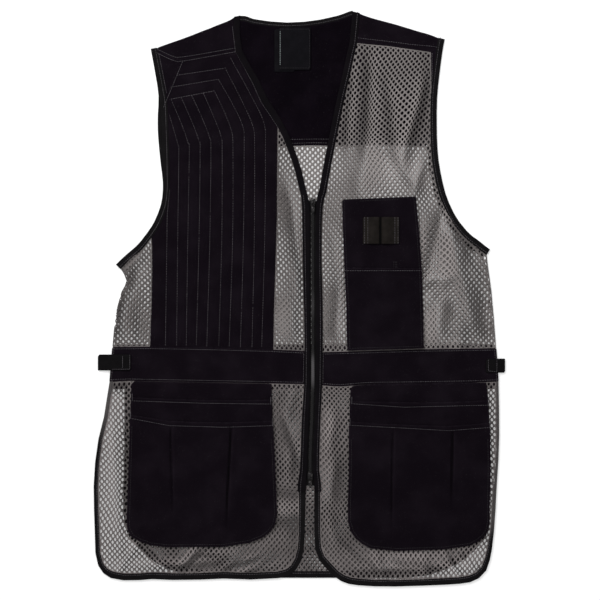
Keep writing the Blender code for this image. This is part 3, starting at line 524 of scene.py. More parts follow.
def knitted(name, node, made, seed, turn, lips=True, slot="grey_net", bend=None, folds=(),
            painted_shading=(), hole=1.0, closing=0.5):
    """A net cut to its node's outline.

    Cells stand in rows NET_ROW apart, every other row half a cell along. A cell has six outer
    points, shared with its neighbours at the crown of the yarn, and eight round its oval hole. Lips
    give the yarn depth inside the holes, and hole is the share of their full size that they have.
    Points beyond the outline are drawn back onto it, as a seam draws in the cells it crosses, and
    no hole comes nearer the edge than EDGE_YARN. Where the edge is free and turned under, the holes
    within closing millimetres of it close up, and a painted shade of TURNED_SHADE lies along it.
    Each patch of painted light or shade given to the net is colour only. Below 0 its shade is painted
    light, and above 0 it is painted shade. A patch has its middle, its reach across and along, and its
    shade.
    """
    def settled(points):
        """Where places of the even pattern come to lie, before any folds."""
        points = wandering(points, seed, turn)
        return bend(points) if bend else points

    laid = Laid(node)
    rim = laid.rim(0.1)
    low, high = rim.min(0) - NET_MARGIN, rim.max(0) + NET_MARGIN
    across = np.arange(math.floor(low[0] / NET_ACROSS), math.ceil(high[0] / NET_ACROSS) + 1)
    rows = np.arange(math.floor(low[1] / NET_ROW), math.ceil(high[1] / NET_ROW) + 1)
    i, j = (a.ravel() for a in np.meshgrid(across, rows))
    centre = np.column_stack([(i + (j % 2) * 0.5) * NET_ACROSS, j * NET_ROW])
    place = settled(centre)
    near, beside = nearest(place, rim)
    inside = within(place, rim[:-1])
    kept = inside | (near < SEAM_REACH)
    closed = np.where(free(beside), (near / closing).clip(HOLE_CLOSED, 1.0), 1.0)
    centre, near, closed = centre[kept], np.where(inside, near, 0.0)[kept], closed[kept]
    closed[near == 0] = HOLE_CLOSED

    half, crown = NET_ACROSS / 2, NET_ROW - NET_SIDE
    outer = np.array([(half, NET_SIDE), (0, crown), (-half, NET_SIDE), (-half, -NET_SIDE),
                      (0, -crown), (half, -NET_SIDE)])
    turns = np.radians(22.5 + 45 * np.arange(8))
    oval = np.column_stack([np.cos(turns) * HOLE_ACROSS / 2, np.sin(turns) * HOLE_ALONG / 2])
    oval = oval * hole * closed[:, None, None]
    crowns = (centre[:, None] + outer).reshape(-1, 2)
    _, first, shared = np.unique(np.round(crowns * 50).astype(int), axis=0, return_index=True,
                                 return_inverse=True)
    layers = [crowns[first], (centre[:, None] + oval).reshape(-1, 2)]
    if lips:
        layers.append((centre[:, None] + oval * 1.1).reshape(-1, 2))
    drop = np.repeat([CROWN_DROP, HOLE_DROP, YARN_DEPTH][:len(layers)], [len(layer) for layer in layers])
    rise, flat, hollow = folded(settled(np.vstack(layers)), folds)
    # Patches of painted light and shade, added to the painted shade and light of the folds.
    for x, y, wide, tall, shade in painted_shading:
        hollow += shade * np.exp(-((flat[:, 0] - x) / wide) ** 2 - ((flat[:, 1] - y) / tall) ** 2)
    outside = ~within(flat, rim[:-1])
    depth, edge = nearest(flat, rim)
    inward = (flat - edge) * (np.where(outside, -1.0, 1.0) / np.maximum(depth, 1e-6))[:, None]
    flat[outside] = edge[outside]
    hemmed = outside | (depth < EDGE_YARN)
    hemmed[:len(first)] = False
    hemmed[len(first):] &= np.tile(np.repeat(near > 0, 8), len(layers) - 1)
    flat[hemmed] = edge[hemmed] + inward[hemmed] * EDGE_YARN
    turned = free(edge) & (outside | (depth < 1.3 * EDGE_YARN))
    hollow = np.where(turned, TURNED_SHADE, hollow.clip(-1, 1))
    rise = rise * (np.where(outside, 0.0, depth) / SEAM_CALM).clip(0, 1)
    height = np.maximum(laid.at(flat) + rise - drop, 0.05)

    holes = len(first) + np.arange(len(centre) * 8).reshape(-1, 8)
    cells = np.hstack([shared.reshape(-1, 6), holes])
    faces = [cells[:, corners] for corners in CELL]
    if lips:
        one, after, down = holes.ravel(), np.roll(holes, -1, axis=1).ravel(), holes.size
        faces += [np.column_stack([one, after, after + down]),
                  np.column_stack([one, after + down, one + down])]
    faces = np.concatenate(faces)
    a, b, c = flat[faces].transpose(1, 0, 2)
    whole = (np.abs(crossed(b - a, c - a)) > 0.004) | (np.ptp(height[faces], axis=1) > 0.2)
    laid.piece = sewn_in(name, np.column_stack([flat, height]), faces[whole], made, slot, node,
                         fields={"hollow": hollow})
    return laid


def drifting(points):
    """The front nets drift slowly over the back ones, so holes meet holes only here and there."""
    x, y = points.T
    return np.column_stack([x + 0.5 + 1.0 * np.sin((0.3 * x + 0.95 * y) / 23 + 2.6),
                            y + 0.2 + 0.7 * np.sin((0.9 * x - 0.4 * y) / 29 + 0.6)])


def leaning(points):
    """The left front's net drifts too, and over the yoke it turns with the strap of the shoulder."""
    x, y = drifting(points).T
    share = ((y - 195) / 130).clip(0, 1) ** 1.5
    return np.column_stack([x + share * 22.0, y - share * (x - 120) * 0.11])


def scattered(seed, count, low, high, way, height):
    """Small folds at random places in a box, all near one direction."""
    rule = np.random.default_rng(seed)
    return tuple((rule.uniform(low[0], high[0]), rule.uniform(low[1], high[1]),
                  way + rule.normal(0, 22), rule.uniform(28, 70), rule.uniform(3.5, 6.5),
                  height * rule.uniform(0.4, 1.0)) for _ in range(count))


# Soft folds: middle x and y, direction in degrees, length, width and height.
SIDE_FOLDS = ((-233, -20, 270, 60, 9, 2.4), (-219, 20, 268, 50, 7, 2.0), (-213, -38, 275, 45, 6, 2.2),
              (-222, 48, 60, 40, 6, 2.0))
CENTRE_FOLDS = ((-6, 95, 282, 130, 8, 2.8), (-5, 20, 100, 60, 6, 2.2), (-12, -27, 100, 60, 8, 2.6))
CHEST_FOLDS = ((94, 255, 270, 150, 9, 2.8), (125, 243, 278, 100, 7, 1.8), (151, 237, 77.5, 130, 8, 3.0),
               (67, 245, 267, 120, 6, 2.2), (84, 172, 270, 80, 12, 1.8), (139, 176, 305, 60, 7, 1.8),
               (159, 163, 78, 55, 6, 2.4), (181, 75, 258, 110, 7, 3.0), (203, 62, 98, 60, 10, 2.4),
               (219, 14, 104, 150, 8, 3.2), (227, 50, 115, 60, 5, 2.2), (182, 27, 20, 50, 9, 2.2),
               (185, -32, 97, 60, 11, 2.8), (214, -50, 100, 40, 9, 2.2), (238, -20, 104, 90, 7, 1.6),
               (52, -15, 270, 80, 9, 2.6), (47, 60, 284, 60, 6, 1.2)
               ) + scattered(7, 5, (178, -60), (245, 70), 104, 1.4)
RIGHT_SKIRT_FOLDS = ((-249, -215, 94, 150, 6, 1.4), (-246, -128, 180, 30, 8, 2.4),
                     (-10, -188, 293, 70, 6, 2.8), (-14, -222, 95, 50, 6, 1.8),
                     (-18, -268, 185, 50, 9, 2.2), (-18, -290, 10, 50, 12, 2.4),
                     (-150, -353, 4, 160, 6, 2.0), (-12, -140, 80, 50, 5, 1.4)
                     ) + scattered(5, 16, (-230, -368), (-20, -340), 35, 2.1)
LEFT_SKIRT_FOLDS = ((42, -178, 90, 60, 9, 2.4), (43, -243, 90, 60, 8, 2.6), (44, -310, 105, 60, 6, 1.2),
                    (252, -200, 92, 150, 5, 2.0), (150, -361, 2, 150, 6, 2.0)
                    ) + scattered(6, 16, (70, -376), (250, -348), 150, 2.0)

# Patches of painted light and shade on the nets, colour only: middle x and y, reach across and
# along, and shade (below 0 painted light, above 0 painted shade).
SIDE_PAINTED_SHADING = ((-225, 0, 25, 60, 0.35), (-247, -30, 7, 30, 0.6))
CENTRE_PAINTED_SHADING = ((-22, -28, 12, 30, -1.0), (-26, 95, 5, 25, 0.3), (-3, 118, 6, 30, -0.4),
                 (-17, 135, 9, 26, -0.6))
CHEST_PAINTED_SHADING = ((118, 176, 46, 28, -1.0), (196, 45, 14, 55, -0.9), (165, 80, 6, 40, -0.9),
                (172, -36, 14, 18, -0.9), (224, 10, 14, 45, 0.6), (232, -46, 26, 14, 0.6),
                (166, 131, 7, 20, 0.8), (165, -30, 5, 30, -0.5), (90, 235, 7, 25, 0.35),
                (138, 262, 10, 34, -0.3), (166, 285, 7, 40, 0.4), (222, 72, 16, 14, 0.5),
                (206, 95, 8, 12, 0.5), (242, 10, 10, 50, 0.4), (202, -58, 16, 7, -0.7))
BACK_PAINTED_SHADING = ((112, 172, 50, 28, -0.8), (198, 40, 14, 55, -0.7), (172, -36, 12, 18, -0.7),
               (-22, -28, 12, 30, -0.8))
RIGHT_SKIRT_PAINTED_SHADING = ((-18, -185, 18, 60, 0.35), (-50, -342, 45, 14, 0.6), (-200, -342, 44, 16, 0.8),
                      (-234, -215, 5, 125, 1.2), (-245, -122, 12, 14, 0.6), (-8, -315, 10, 45, 0.7),
                      (-36, -280, 8, 40, 0.3))
LEFT_SKIRT_PAINTED_SHADING = ((47, -178, 14, 24, -0.8), (150, -345, 60, 10, -1.0), (251, -175, 9, 95, 1.0),
                     (74, -322, 22, 20, 0.6), (52, -255, 12, 30, 0.5), (247, -318, 10, 16, 1.1))

# The nets above the belt share one seed and one turn in degrees, and those below it another.
ABOVE_BELT = (11, 0.8)
BELOW_BELT = (12, -0.6)
back_net_upper = knitted("back_net_above_belt", "back_net_upper", back_grey_net, *ABOVE_BELT,
                         painted_shading=BACK_PAINTED_SHADING, hole=0.92, closing=3.2)
back_net_lower = knitted("back_net_below_belt", "back_net_lower", skirt_grey_net, *BELOW_BELT,
                         painted_shading=((13, -320, 16, 50, 0.85),), hole=0.92)
pouch_net = knitted("game_pouch_net", "game_pouch", dark_net, 13, 1.5, lips=False,
                    slot="dark_net", hole=0.8)
side_net = knitted("right_side_net", "front_net_right_side", shaded_grey_net, *ABOVE_BELT,
                   bend=drifting, folds=SIDE_FOLDS, painted_shading=SIDE_PAINTED_SHADING, closing=3.2)
centre_net = knitted("right_centre_net", "front_net_right_centre", shaded_grey_net, *ABOVE_BELT,
                     bend=drifting, folds=CENTRE_FOLDS, painted_shading=CENTRE_PAINTED_SHADING)
right_skirt_net = knitted("right_net_below_belt", "front_net_right_lower", skirt_grey_net,
                          *BELOW_BELT, bend=drifting, folds=RIGHT_SKIRT_FOLDS,
                          painted_shading=RIGHT_SKIRT_PAINTED_SHADING)
left_chest_net = knitted("left_net_above_belt", "front_net_left_upper", grey_net, *ABOVE_BELT,
                         bend=leaning, folds=CHEST_FOLDS, painted_shading=CHEST_PAINTED_SHADING, closing=3.2)
left_skirt_net = knitted("left_net_below_belt", "front_net_left_lower", skirt_grey_net,
                         *BELOW_BELT, bend=drifting, folds=LEFT_SKIRT_FOLDS,
                         painted_shading=LEFT_SKIRT_PAINTED_SHADING)


# The plain parts are black cotton twill, cut from the roll and turned under at their edges.
# Each is a thin sheet over its own CAD piece, rolled down at the rim by the turning.
def twill_finish(name, colour, worn, weave=0.8):
    """Fine diagonal weave with cloudy fading, paler where a folded edge rubs, and a little lint."""
    made, shader, place, x, y = finish(name, 0.88, specular=0.04)
    diagonal, across = (x * 0.9 + y).wave(weave), (x - y * 0.45).wave(weave * 0.8)
    faded = place.noise(34, 4.0).step(0.35, 0.75)
    rubbed = (1 - place.field("rim").step(0.2, 2.2)) * place.noise(3.0).step(0.3, 0.75)
    # The field lit, given by the pleats, is painted light where above 0 and painted shade where below 0.
    lint, lit = place.noise(0.9, 0.0).step(0.80, 0.83), place.field("lit")
    base = (faded * 0.35 + diagonal * 0.25 + rubbed * 0.6 + lit).blend(colour, worn)
    base = (lit * -1.0).blend(base, (0.0003, 0.0002, 0.0003))
    fed(shader, "Base Color", (lint * 0.4).blend(base, (0.05, 0.047, 0.05)))
    embossed(shader, diagonal * 0.6 + across * 0.25 + place.noise(0.5, 1.0) * 0.15, 0.10)
    return made


black_twill = twill_finish("black_twill", (0.0023, 0.0011, 0.0026), (0.0094, 0.0066, 0.0100))
# A darker copy of the black twill, as painted shade, for the back yoke that lies in shade inside the V.
shaded_twill = twill_finish("shaded_black_twill", (0.0009, 0.0002, 0.0012), (0.0052, 0.0030, 0.0060))


def cut_cloth(outline, pitch):
    """A square net of points, cut to an outline: those at the edge or beyond are moved onto it.

    Returns the points, the triangles, and each point's distance in from the edge.
    """
    low, high = outline.min(0) - pitch, outline.max(0) + 2 * pitch
    xs, ys = np.arange(low[0], high[0], pitch), np.arange(low[1], high[1], pitch)
    points = np.column_stack([a.ravel() for a in np.meshgrid(xs, ys)])
    depth, edge = nearest(points, outline)
    loose = within(points, outline[:-1]) & (depth > 0.42 * pitch)
    points[~loose], depth = edge[~loose], np.where(loose, depth, 0.0)
    faces = halved(grid(len(ys), len(xs)))
    faces = faces[loose[faces].any(1)]
    _, first, same = np.unique(np.round(points * 40).astype(int), axis=0, return_index=True,
                               return_inverse=True)
    faces = same.reshape(-1)[faces]
    points, depth = points[first], depth[first]
    p, q, r = points[faces].transpose(1, 0, 2)
    faces = faces[crossed(q - p, r - p) > 1e-3]
    used, faces = np.unique(faces, return_inverse=True)
    return points[used], faces.reshape(-1, 3), depth[used]


def ripple(points, seed, waves=((90, 0.30), (38, 0.20), (17, 0.11), (9, 0.04))):
    """Slow unevenness of laid cloth: sines in many directions, in millimetres of height."""
    rule = np.random.default_rng(seed)
    height = np.zeros(len(points))
    for wave, rise in waves:
        for _ in range(3):
            way, phase = rule.uniform(0, 2 * math.pi, 2)
            height += rise / 3 * np.sin(2 * math.pi * (points @ (math.cos(way), math.sin(way))) / wave
                                        + phase)
    return height


class Cloth(Laid):
    """A panel over its CAD node: a net of points at the node's height, plus the panel's own relief.

    relief(points, depth) gives millimetres added to the height, from the place and the distance in
    from the edge. The rim rolls down in rings: out by up to roll, and down by up to wall. Grow is
    how far the panel stands out past its node, and shade gives the light that falls on each place.
    """

    ROLLED = ((0.75, 0.16), (1.0, 0.5), (0.7, 0.85), (-2.0, 1.0))
    CALM_RIM = 12
    LOWEST = 0.02

    def __init__(self, name, node, pitch, relief=None, made=black_twill, slot="black_twill",
                 wall=0.9, roll=0.4, soften=4.0, seed=1, grow=0.12, shade=None):
        super().__init__(node, soften)
        self.relief, self.seed, self.edge = relief, seed, self.rim(grow - roll)
        flat, faces, depth = cut_cloth(self.edge, pitch)
        top = self.height(flat, depth)
        a, b = border(faces).T
        out = np.zeros((len(flat), 2))
        for end in (a, b):
            np.add.at(out, end, -left_of(flat[b] - flat[a]))
        ring = np.unique([a, b])
        out = out[ring] / np.maximum(np.linalg.norm(out[ring], axis=1), 1e-6)[:, None]
        a, b = np.searchsorted(ring, a), np.searchsorted(ring, b)
        above, points, sheets = ring, [np.column_stack([flat, top])], [faces]
        for reach, fall in self.ROLLED:
            low = np.maximum(top[ring] - fall * wall, self.LOWEST)
            below = sum(map(len, points)) + np.arange(len(ring))
            points.append(np.column_stack([flat[ring] + out * roll * reach, low]))
            sheets += [np.column_stack([above[b], above[a], below[a]]),
                       np.column_stack([above[b], below[a], below[b]])]
            above = below
        points = np.vstack(points)
        fields = {"rim": np.pad(depth, (0, len(points) - len(depth)))}
        if shade:
            fields["lit"] = shade(points[:, :2])
        self.piece = sewn_in(name, points, np.concatenate(sheets), made, slot, node, fields=fields)

    def height(self, points, depth=None):
        """Height of the finished upper face at each place."""
        depth = nearest(points, self.edge)[0] if depth is None else depth
        high = self.at(points) + ripple(points, self.seed) * (depth / self.CALM_RIM).clip(0, 1)
        return high + self.relief(points, depth) if self.relief else high


HEM_STEP = 0.28
HEM_WIDTH = 7.0
HEM_SOFTNESS = 0.7


def turned_edge(points, depth):
    """A turned hem: double cloth for its width, a shallow step down where it ends."""
    return HEM_STEP * (1 / (1 + np.exp((depth - HEM_WIDTH) / HEM_SOFTNESS)))


# The back yoke takes the darker copy of the twill: painted shade.
back_yoke = Cloth("back_yoke_twill", "back_yoke", 3.5, made=shaded_twill, seed=21)
back_belt = Cloth("back_belt_twill", "back_belt", 3.5, turned_edge, seed=22)
right_yoke = Cloth("right_shoulder_yoke", "shoulder_yoke_right", 1.4, seed=23, grow=0.5)
left_yoke = Cloth("left_shoulder_yoke", "shoulder_yoke_left", 2.2, seed=24)
gusset = Cloth("right_shoulder_gusset", "shoulder_gusset_right", 1.2, seed=25, grow=0.45)
left_gusset = Cloth("left_shoulder_gusset", "shoulder_gusset_left", 2.2, seed=28)
right_belt, left_belt = (
    Cloth(f"{side}_belt_twill", f"belt_{side}", 2.5, turned_edge, seed=seed, grow=0.6)
    for side, seed in (("right", 26), ("left", 27)))

# The gun pad is two layers of twill with wadding between, quilted by rows of stitching.
# Three rows turn a corner under the shoulder, and most of the others start at the third of them.
# The first four rows also have an end beyond their corner.
QUILT_ENDS = ((-92, 321), (-164, 299), (-172, 283), (-175, 266.5))
#    corner        slope          bend            chest         waist       hem
QUILT_ROWS = (
    ((-91, 319), (-66, 273), (-48, 235), (-46, 199), (-47, 78), (-51, -64)),
    ((-100, 308.5), (-78, 265.5), (-62.5, 229.5), (-60.5, 199), (-61, 78), (-64, -64)),
    ((-109, 293.5), (-91, 262), (-76, 229.5), (-74.5, 199), (-75.5, 78), (-79.5, -64)),
    ((-114.5, 278), (-102, 252), (-91.5, 224.5), (-89.5, 199), (-90, 78), (-94.5, -63)),
    ((-127, 270), (-116, 245), (-105.5, 217.5), (-104, 197), (-104.5, 78), (-108.5, -63)),
    ((-142.5, 267), (-131, 242), (-121, 216), (-119, 197), (-120.5, 78), (-124.5, -63)),
    ((-156.5, 264), (-145, 238), (-135, 211), (-133.5, 196), (-135, 78), (-138.5, -62)),
    ((-170, 261), (-158.5, 234), (-149.5, 208), (-148, 194), (-150, 78), (-152, -62)),
    ((-175.3, 248), (-170, 230), (-163, 205.5), (-162, 192), (-163.5, 78), (-165, -62)),
    ((-174.5, 144), (-175.5, 132), (-176.5, 118), (-177.3, 102), (-178, 78), (-180, -62)),
)
QUILT_PUFF = 1.25
QUILT_ROUND = 7.5
QUILT_SUNK = 0.62
CRUMPLE = 0.10


def curved(line, cuts=4):
    """Pass a smooth curve (Catmull-Rom) through a row of points."""
    p = np.asarray(line, float)
    p = np.vstack([2 * p[0] - p[1], p, 2 * p[-1] - p[-2]])
    t = (np.arange(cuts) / cuts)[:, None, None]
    a, b, c, d = p[:-3], p[1:-2], p[2:-1], p[3:]
    made = 0.5 * (2 * b + (c - a) * t + (2 * a - 5 * b + 4 * c - d) * t ** 2
                  + (3 * b - a - 3 * c + d) * t ** 3)
    return np.vstack([made.transpose(1, 0, 2).reshape(-1, 2), p[-2:-1]])


quilt_lines = [curved(row) for row in QUILT_ROWS]
quilt_lines[:4] = [np.vstack([end, line]) for end, line in zip(QUILT_ENDS, quilt_lines)]


def quilted(points, depth):
    """Wadding between the rows: rises as a round arc from the nearest row of stitches or edge."""
    near = np.minimum.reduce([nearest(points, line)[0] for line in quilt_lines] + [depth * 0.8])
    swell = 1 - (1 - (near / QUILT_ROUND).clip(0, 1)) ** 2.2
    creases = np.sin(points[:, 1] / 2.9 + 3 * np.sin(points[:, 0] / 11)) * np.exp(-near / 2.2)
    return QUILT_PUFF * (swell - QUILT_SUNK) + CRUMPLE * creases


gun_pad = Cloth("gun_pad_quilted", "gun_pad", 1.9, quilted, soften=6.0, wall=1.4, seed=31)

# Chest: a long twill patch lies over the left net, and a pocket is stitched on its lower half.
# Above the pocket a strip of elastic makes two loops.
chest_patch = Cloth("chest_patch", "chest_panel", 2.4, turned_edge, seed=41)
chest_pocket = Cloth("chest_pocket_cloth", "chest_pocket", 2.2, turned_edge, seed=42)

# Lower pockets: each is three layers with its own hem, the front one pleated at its foot.
# Pleats: x and y at the top of the fold, then at its foot, and how strong it is.
RIGHT_PLEATS = ((-173, -174, -171, -268, 0.5), (-92, -174, -98, -284, 0.9))
LEFT_PLEATS = ((124, -178, 122, -290, 0.5), (204, -178, 203, -257, 0.9))


def pleated(pleats):
    """The relief and the light of a row of pleats."""
    def beside(points, x0, y0, x1, y1, softness):
        """Distance to one side of a pleat's line, and how much of the pleat is left there."""
        share = ((points[:, 1] - y0) / (y1 - y0)).clip(0, 1)
        there = 1 / (1 + np.exp((points[:, 1] - y0) / softness)) / (1 + np.exp((y1 - points[:, 1]) / 9))
        return points[:, 0] - (x0 + (x1 - x0) * share), there

    def relief(points, depth):
        """A fold stands at its line, falls away sharply on one side and slowly on the other."""
        high = turned_edge(points, depth)
        for *line, strength in pleats:
            aside, there = beside(points, *line, 4)
            high = high + strength * there * np.where(aside > 0, 0.9 * np.exp(-aside / 9),
                                                      -0.5 * np.exp(aside / 3.0))
        return high

    def shade(points):
        """The pleat's edge catches the light, and its hollow is dark."""
        lit = np.zeros(len(points))
        for *line, strength in pleats:
            aside, there = beside(points, *line, 2)
            lit += there * (0.3 * np.exp(-((aside - 2.6) / 1.6) ** 2)
                            - strength * np.exp(-(aside / 1.3) ** 2))
        return lit
    return relief, shade


pockets = {}
for side, pleats, seed in (("right", RIGHT_PLEATS, 50), ("left", LEFT_PLEATS, 60)):
    relief, shade = pleated(pleats)
    for layer, pitch, more in (
            ("back", 3.0, {"seed": seed, "grow": 0.9}),
            ("middle", 2.6, {"relief": turned_edge, "seed": seed + 1}),
            ("front", 2.1, {"relief": relief, "seed": seed + 2, "shade": shade})):
        pockets[side, layer] = Cloth(f"{side}_pocket_{layer}", f"pocket_{layer}_{side}", pitch, **more)


# Ribbed tape binds the armholes, the neck and the hems: it is folded over the raw edge.
# The twill bands down the V and beside the zip are folded strips of the same kind.
def tape_finish(name, colour, worn, rib=0.9):
    """Fine ribs across the tape, with a paler rubbed line where it folds over the edge."""
    made, shader, place, _, _ = finish(name, 0.8, specular=0.08)
    ribs = place.field("along").wave(rib)
    rubbed = (1 - place.field("across").step(0.0, 0.16)) * place.noise(4.0).step(0.3, 0.7)
    shade = ribs * 0.3 + place.noise(18, 3.0).step(0.35, 0.75) * 0.3 + rubbed * 0.25
    tape = place.field("bare").blend(shade.blend(colour, worn), (0.060, 0.055, 0.054))
    fed(shader, "Base Color", tape)
    embossed(shader, ribs, 0.14)
    return made


black_tape = tape_finish("black_tape", (0.0016, 0.0013, 0.0016), (0.0080, 0.0071, 0.0080))
band_twill = tape_finish("black_band_twill", (0.0008, 0.0003, 0.0010), (0.0050, 0.0034, 0.0054),
                         rib=0.55)


def rails(laid, pace):
    """Both long edges of a strip, with as many places on each, found from its four sharp corners."""
    line = laid.outline
    before, after = line - np.roll(line, 1, axis=0), np.roll(line, -1, axis=0) - line
    turn = np.abs(np.arctan2(crossed(before, after), (before * after).sum(1)))
    corners = []
    for k in np.argsort(-turn):
        if len(corners) < 4 and all(np.linalg.norm(line[k] - line[c]) > 2.0 for c in corners):
            corners.append(int(k))
    corners.sort()
    sides = [laid.side(line[c], line[d]) for c, d in zip(corners, corners[1:] + corners[:1])]
    length = [travelled(side)[-1] for side in sides]
    first = 0 if length[0] + length[2] > length[1] + length[3] else 1
    count = round(length[first] / pace)
    return [paced(side, travelled(side)[-1] / count)[0] for side in (sides[first],
                                                                     sides[first + 2][::-1])]


FOLDED = ((1.0, 0.35), (1.0, 0.12), (0.92, 0.0), (0.5, 0.0), (0.1, 0.02), (0.0, 0.22), (-0.015, 0.5),
          (0.0, 0.80), (0.07, 0.96), (0.3, 1.02), (0.7, 1.0), (1.0, 1.0), (1.14, 1.0), (1.2, 0.8),
          (1.2, 0.6))


class Strip(Laid):
    """A folded strip along both edges of its CAD piece.

    The profile FOLDED, as shares across the strip and of its thickness, is carried along the two
    edges. It starts under the inner edge, runs round the fold and ends over the inner edge. The
    fold stands wider millimetres beyond the edge of its CAD piece. At the side of the vest, between
    the two heights of bare, its colour turns upwards to the grey of the net's turned edge.
    """

    PUCKER_EVERY = 6.4
    PAST_ENDS = 0.8
    LOWEST = 0.02
    AT_SIDE = 150
    FOLDED_CUT = 2.25
    LEAST_CUT = 10.1

    def __init__(self, name, node, made=black_tape, slot="black_tape", fold_first=True, pace=2.5,
                 wall=1.1, extra=0.15, pucker=0.05, over=1.0, wider=0.0, bare=None):
        super().__init__(node, 3.0)
        self.extra = extra
        one, other = rails(self, pace)
        for rail in (one, other):
            rail[0] += unit(rail[0] - rail[1]) * self.PAST_ENDS
            rail[-1] += unit(rail[-1] - rail[-2]) * self.PAST_ENDS
        out, inn = (one, other) if fold_first else (other, one)
        self.out, self.inner = out + wider * unit(out - inn), inn
        reach = self.inner - self.out
        self.across = np.linalg.norm(reach, axis=1).mean()
        share, level = np.array(FOLDED).T
        share = np.minimum(share, 1.0) + over * (share - 1.0).clip(0.0)
        flat = self.out[:, None] + share[:, None] * reach[:, None]
        top = self.at(flat.reshape(-1, 2)).reshape(flat.shape[:2]) + extra
        run = travelled(self.out)
        top += (pucker * np.sin(run * 2 * math.pi / self.PUCKER_EVERY)[:, None]
                * np.sin(share * math.pi).clip(0, 1))
        bottom = np.maximum(top - wall - extra, self.LOWEST)
        high = bottom + (top - bottom) * level
        points = np.concatenate([flat, high[..., None]], axis=2).reshape(-1, 3)
        rows, columns = flat.shape[:2]
        faces = grid(rows, columns)[:, [0, 3, 2, 1]]
        upper = faces.reshape(rows - 1, columns - 1, 4)[:, columns * 2 // 3]
        p, q, r = points[upper[:, :3]].transpose(1, 0, 2)
        if crossed(q - p, r - p).mean() < 0:
            faces = faces[:, ::-1]
        fields = {"along": np.repeat(run, columns), "across": np.tile(share, rows)}
        if bare:
            upwards = ((points[:, 1] - bare[0]) / (bare[1] - bare[0])).clip(0, 1)
            fields["bare"] = (np.abs(points[:, 0]) > self.AT_SIDE) * upwards
        self.piece = sewn_in(name, points, faces, made, slot, node, fields=fields)
        self.run = run[-1]

    def row(self, share):
        """A line along the strip, at a share of the way across it."""
        return self.out + share * (self.inner - self.out)

    def height(self, points):
        return self.at(points) + self.extra

    def cut(self, *under, sewn=()):
        """A folded strip is cut to twice what shows, and its two turnings."""
        width = max(self.LEAST_CUT, self.FOLDED_CUT * self.across)
        self.declared("folded", width * MM, self.run * MM, under, sewn)


back_armhole_right = Strip("right_back_armhole_binding", "back_armhole_binding_right",
                           fold_first=False, wider=0.8)
back_armhole_left = Strip("left_back_armhole_binding", "back_armhole_binding_left", wider=0.6)
back_neck = Strip("back_neck_binding_tape", "back_neck_binding", fold_first=False, wider=0.3)
back_hem = Strip("back_hem_binding_tape", "back_hem_binding", wall=2.2)
armhole_right = Strip("right_armhole_binding", "armhole_binding_right", fold_first=False, wider=0.5)
armhole_left = Strip("left_armhole_binding", "armhole_binding_left", wider=0.6)
hem_right = Strip("right_hem_binding", "hem_binding_right", fold_first=False, over=0.35, wider=0.2,
                  bare=(-195, -150))
hem_left = Strip("left_hem_binding", "hem_binding_left", over=0.35, wider=0.2, bare=(-322, -298))
neck_right = Strip("right_neck_band", "neck_band_right", band_twill, "black_twill", extra=0.5)
neck_left = Strip("left_neck_band", "neck_band_left", band_twill, "black_twill", extra=0.5,
                  fold_first=False)

# The zip is a moulded one that opens at both ends, with its tapes sewn behind two twill bands.
# A tooth is 2.25 mm along the chain, 2.9 mm across it and 1.9 mm high.
zip_tapes = [Strip(f"{side}_zip_tape", f"zip_tape_{side}", pace=5, extra=0.0, wall=0.9, pucker=0.0)
             for side in ("right", "left")]
zip_bands = [Strip(f"{side}_zip_band", f"zip_band_{side}", band_twill, "black_twill", extra=0.3,
                   fold_first=side == "right") for side in ("right", "left")]
CHAIN_PITCH = 2.6
TOOTH = (2.25, 2.9, 0.7)
TOOTH_LEVELS = ((-1.9, 0.25), (-1.14, 0.0), (-0.35, 0.0), (0.0, 0.3))
TOOTH_REACH = 0.75
TOOTH_SUNK = 0.1
BED_REACH = 1.9
BED_DROP = 1.3
# The chain catches the light at the belt and, more weakly, above it. For each place these are the
# strength, the height on the vest, the reach up and down, and the power of the curve.
CHAIN_LIT = ((0.85, -97, 20, 4), (0.3, -8, 14, 2))


def solid(rings):
    """Walls between rings of points, closed at both ends by fans from the end rings' middles."""
    rows, size = rings.shape[:2]
    near, after = np.arange(size), np.roll(np.arange(size), -1)
    last, foot = (rows - 1) * size, np.full(size, rows * size)
    return (np.vstack([rings.reshape(-1, 3), rings[0].mean(0), rings[-1].mean(0)]),
            np.concatenate([halved(grid(rows, size, around=True)),
                            np.column_stack([after, near, foot]),
                            np.column_stack([last + near, last + after, foot + 1])]))


def stacked(outline, levels):
    """A solid from one outline, raised to each level's height and drawn in by its inset."""
    outline = np.asarray(outline, float)
    centre = outline.mean(0)
    away = outline - centre
    return solid(np.stack([np.column_stack([centre + away * (1 - inset / np.abs(away).max(0)),
                                            np.full(len(outline), height)])
                           for height, inset in levels]))


def rounded_box(width, length, corner, cuts=3):
    """The outline of a rectangle with round corners, anticlockwise, about its own middle."""
    turn = np.radians(np.concatenate([np.linspace(q, q + 90, cuts) for q in (0, 90, 180, 270)]))
    side_x = np.repeat([1, -1, -1, 1], cuts) * (width / 2 - corner)
    side_y = np.repeat([1, 1, -1, -1], cuts) * (length / 2 - corner)
    return np.column_stack([side_x + corner * np.cos(turn), side_y + corner * np.sin(turn)])


def copied(shape, places, ways):
    """Copies of a small shape: each turned so its X points along its way, and moved to its place."""
    points, faces = shape
    way = unit(ways)
    side = unit(np.cross([0, 0, 1], way))
    moved = places[:, None] + sum(points[None, :, k:k + 1] * axis[:, None]
                                  for k, axis in enumerate((way, side, np.cross(way, side))))
    number = faces[None] + (np.arange(len(places)) * len(points))[:, None, None]
    return moved.reshape(-1, 3), number.reshape(-1, faces.shape[1])


def joined(*shapes):
    """Several shapes as one: their points in a row, and their faces counted on."""
    starts = np.cumsum([0] + [len(points) for points, _ in shapes])
    return (np.vstack([points for points, _ in shapes]),
            np.concatenate([faces + start for (_, faces), start in zip(shapes, starts)]))


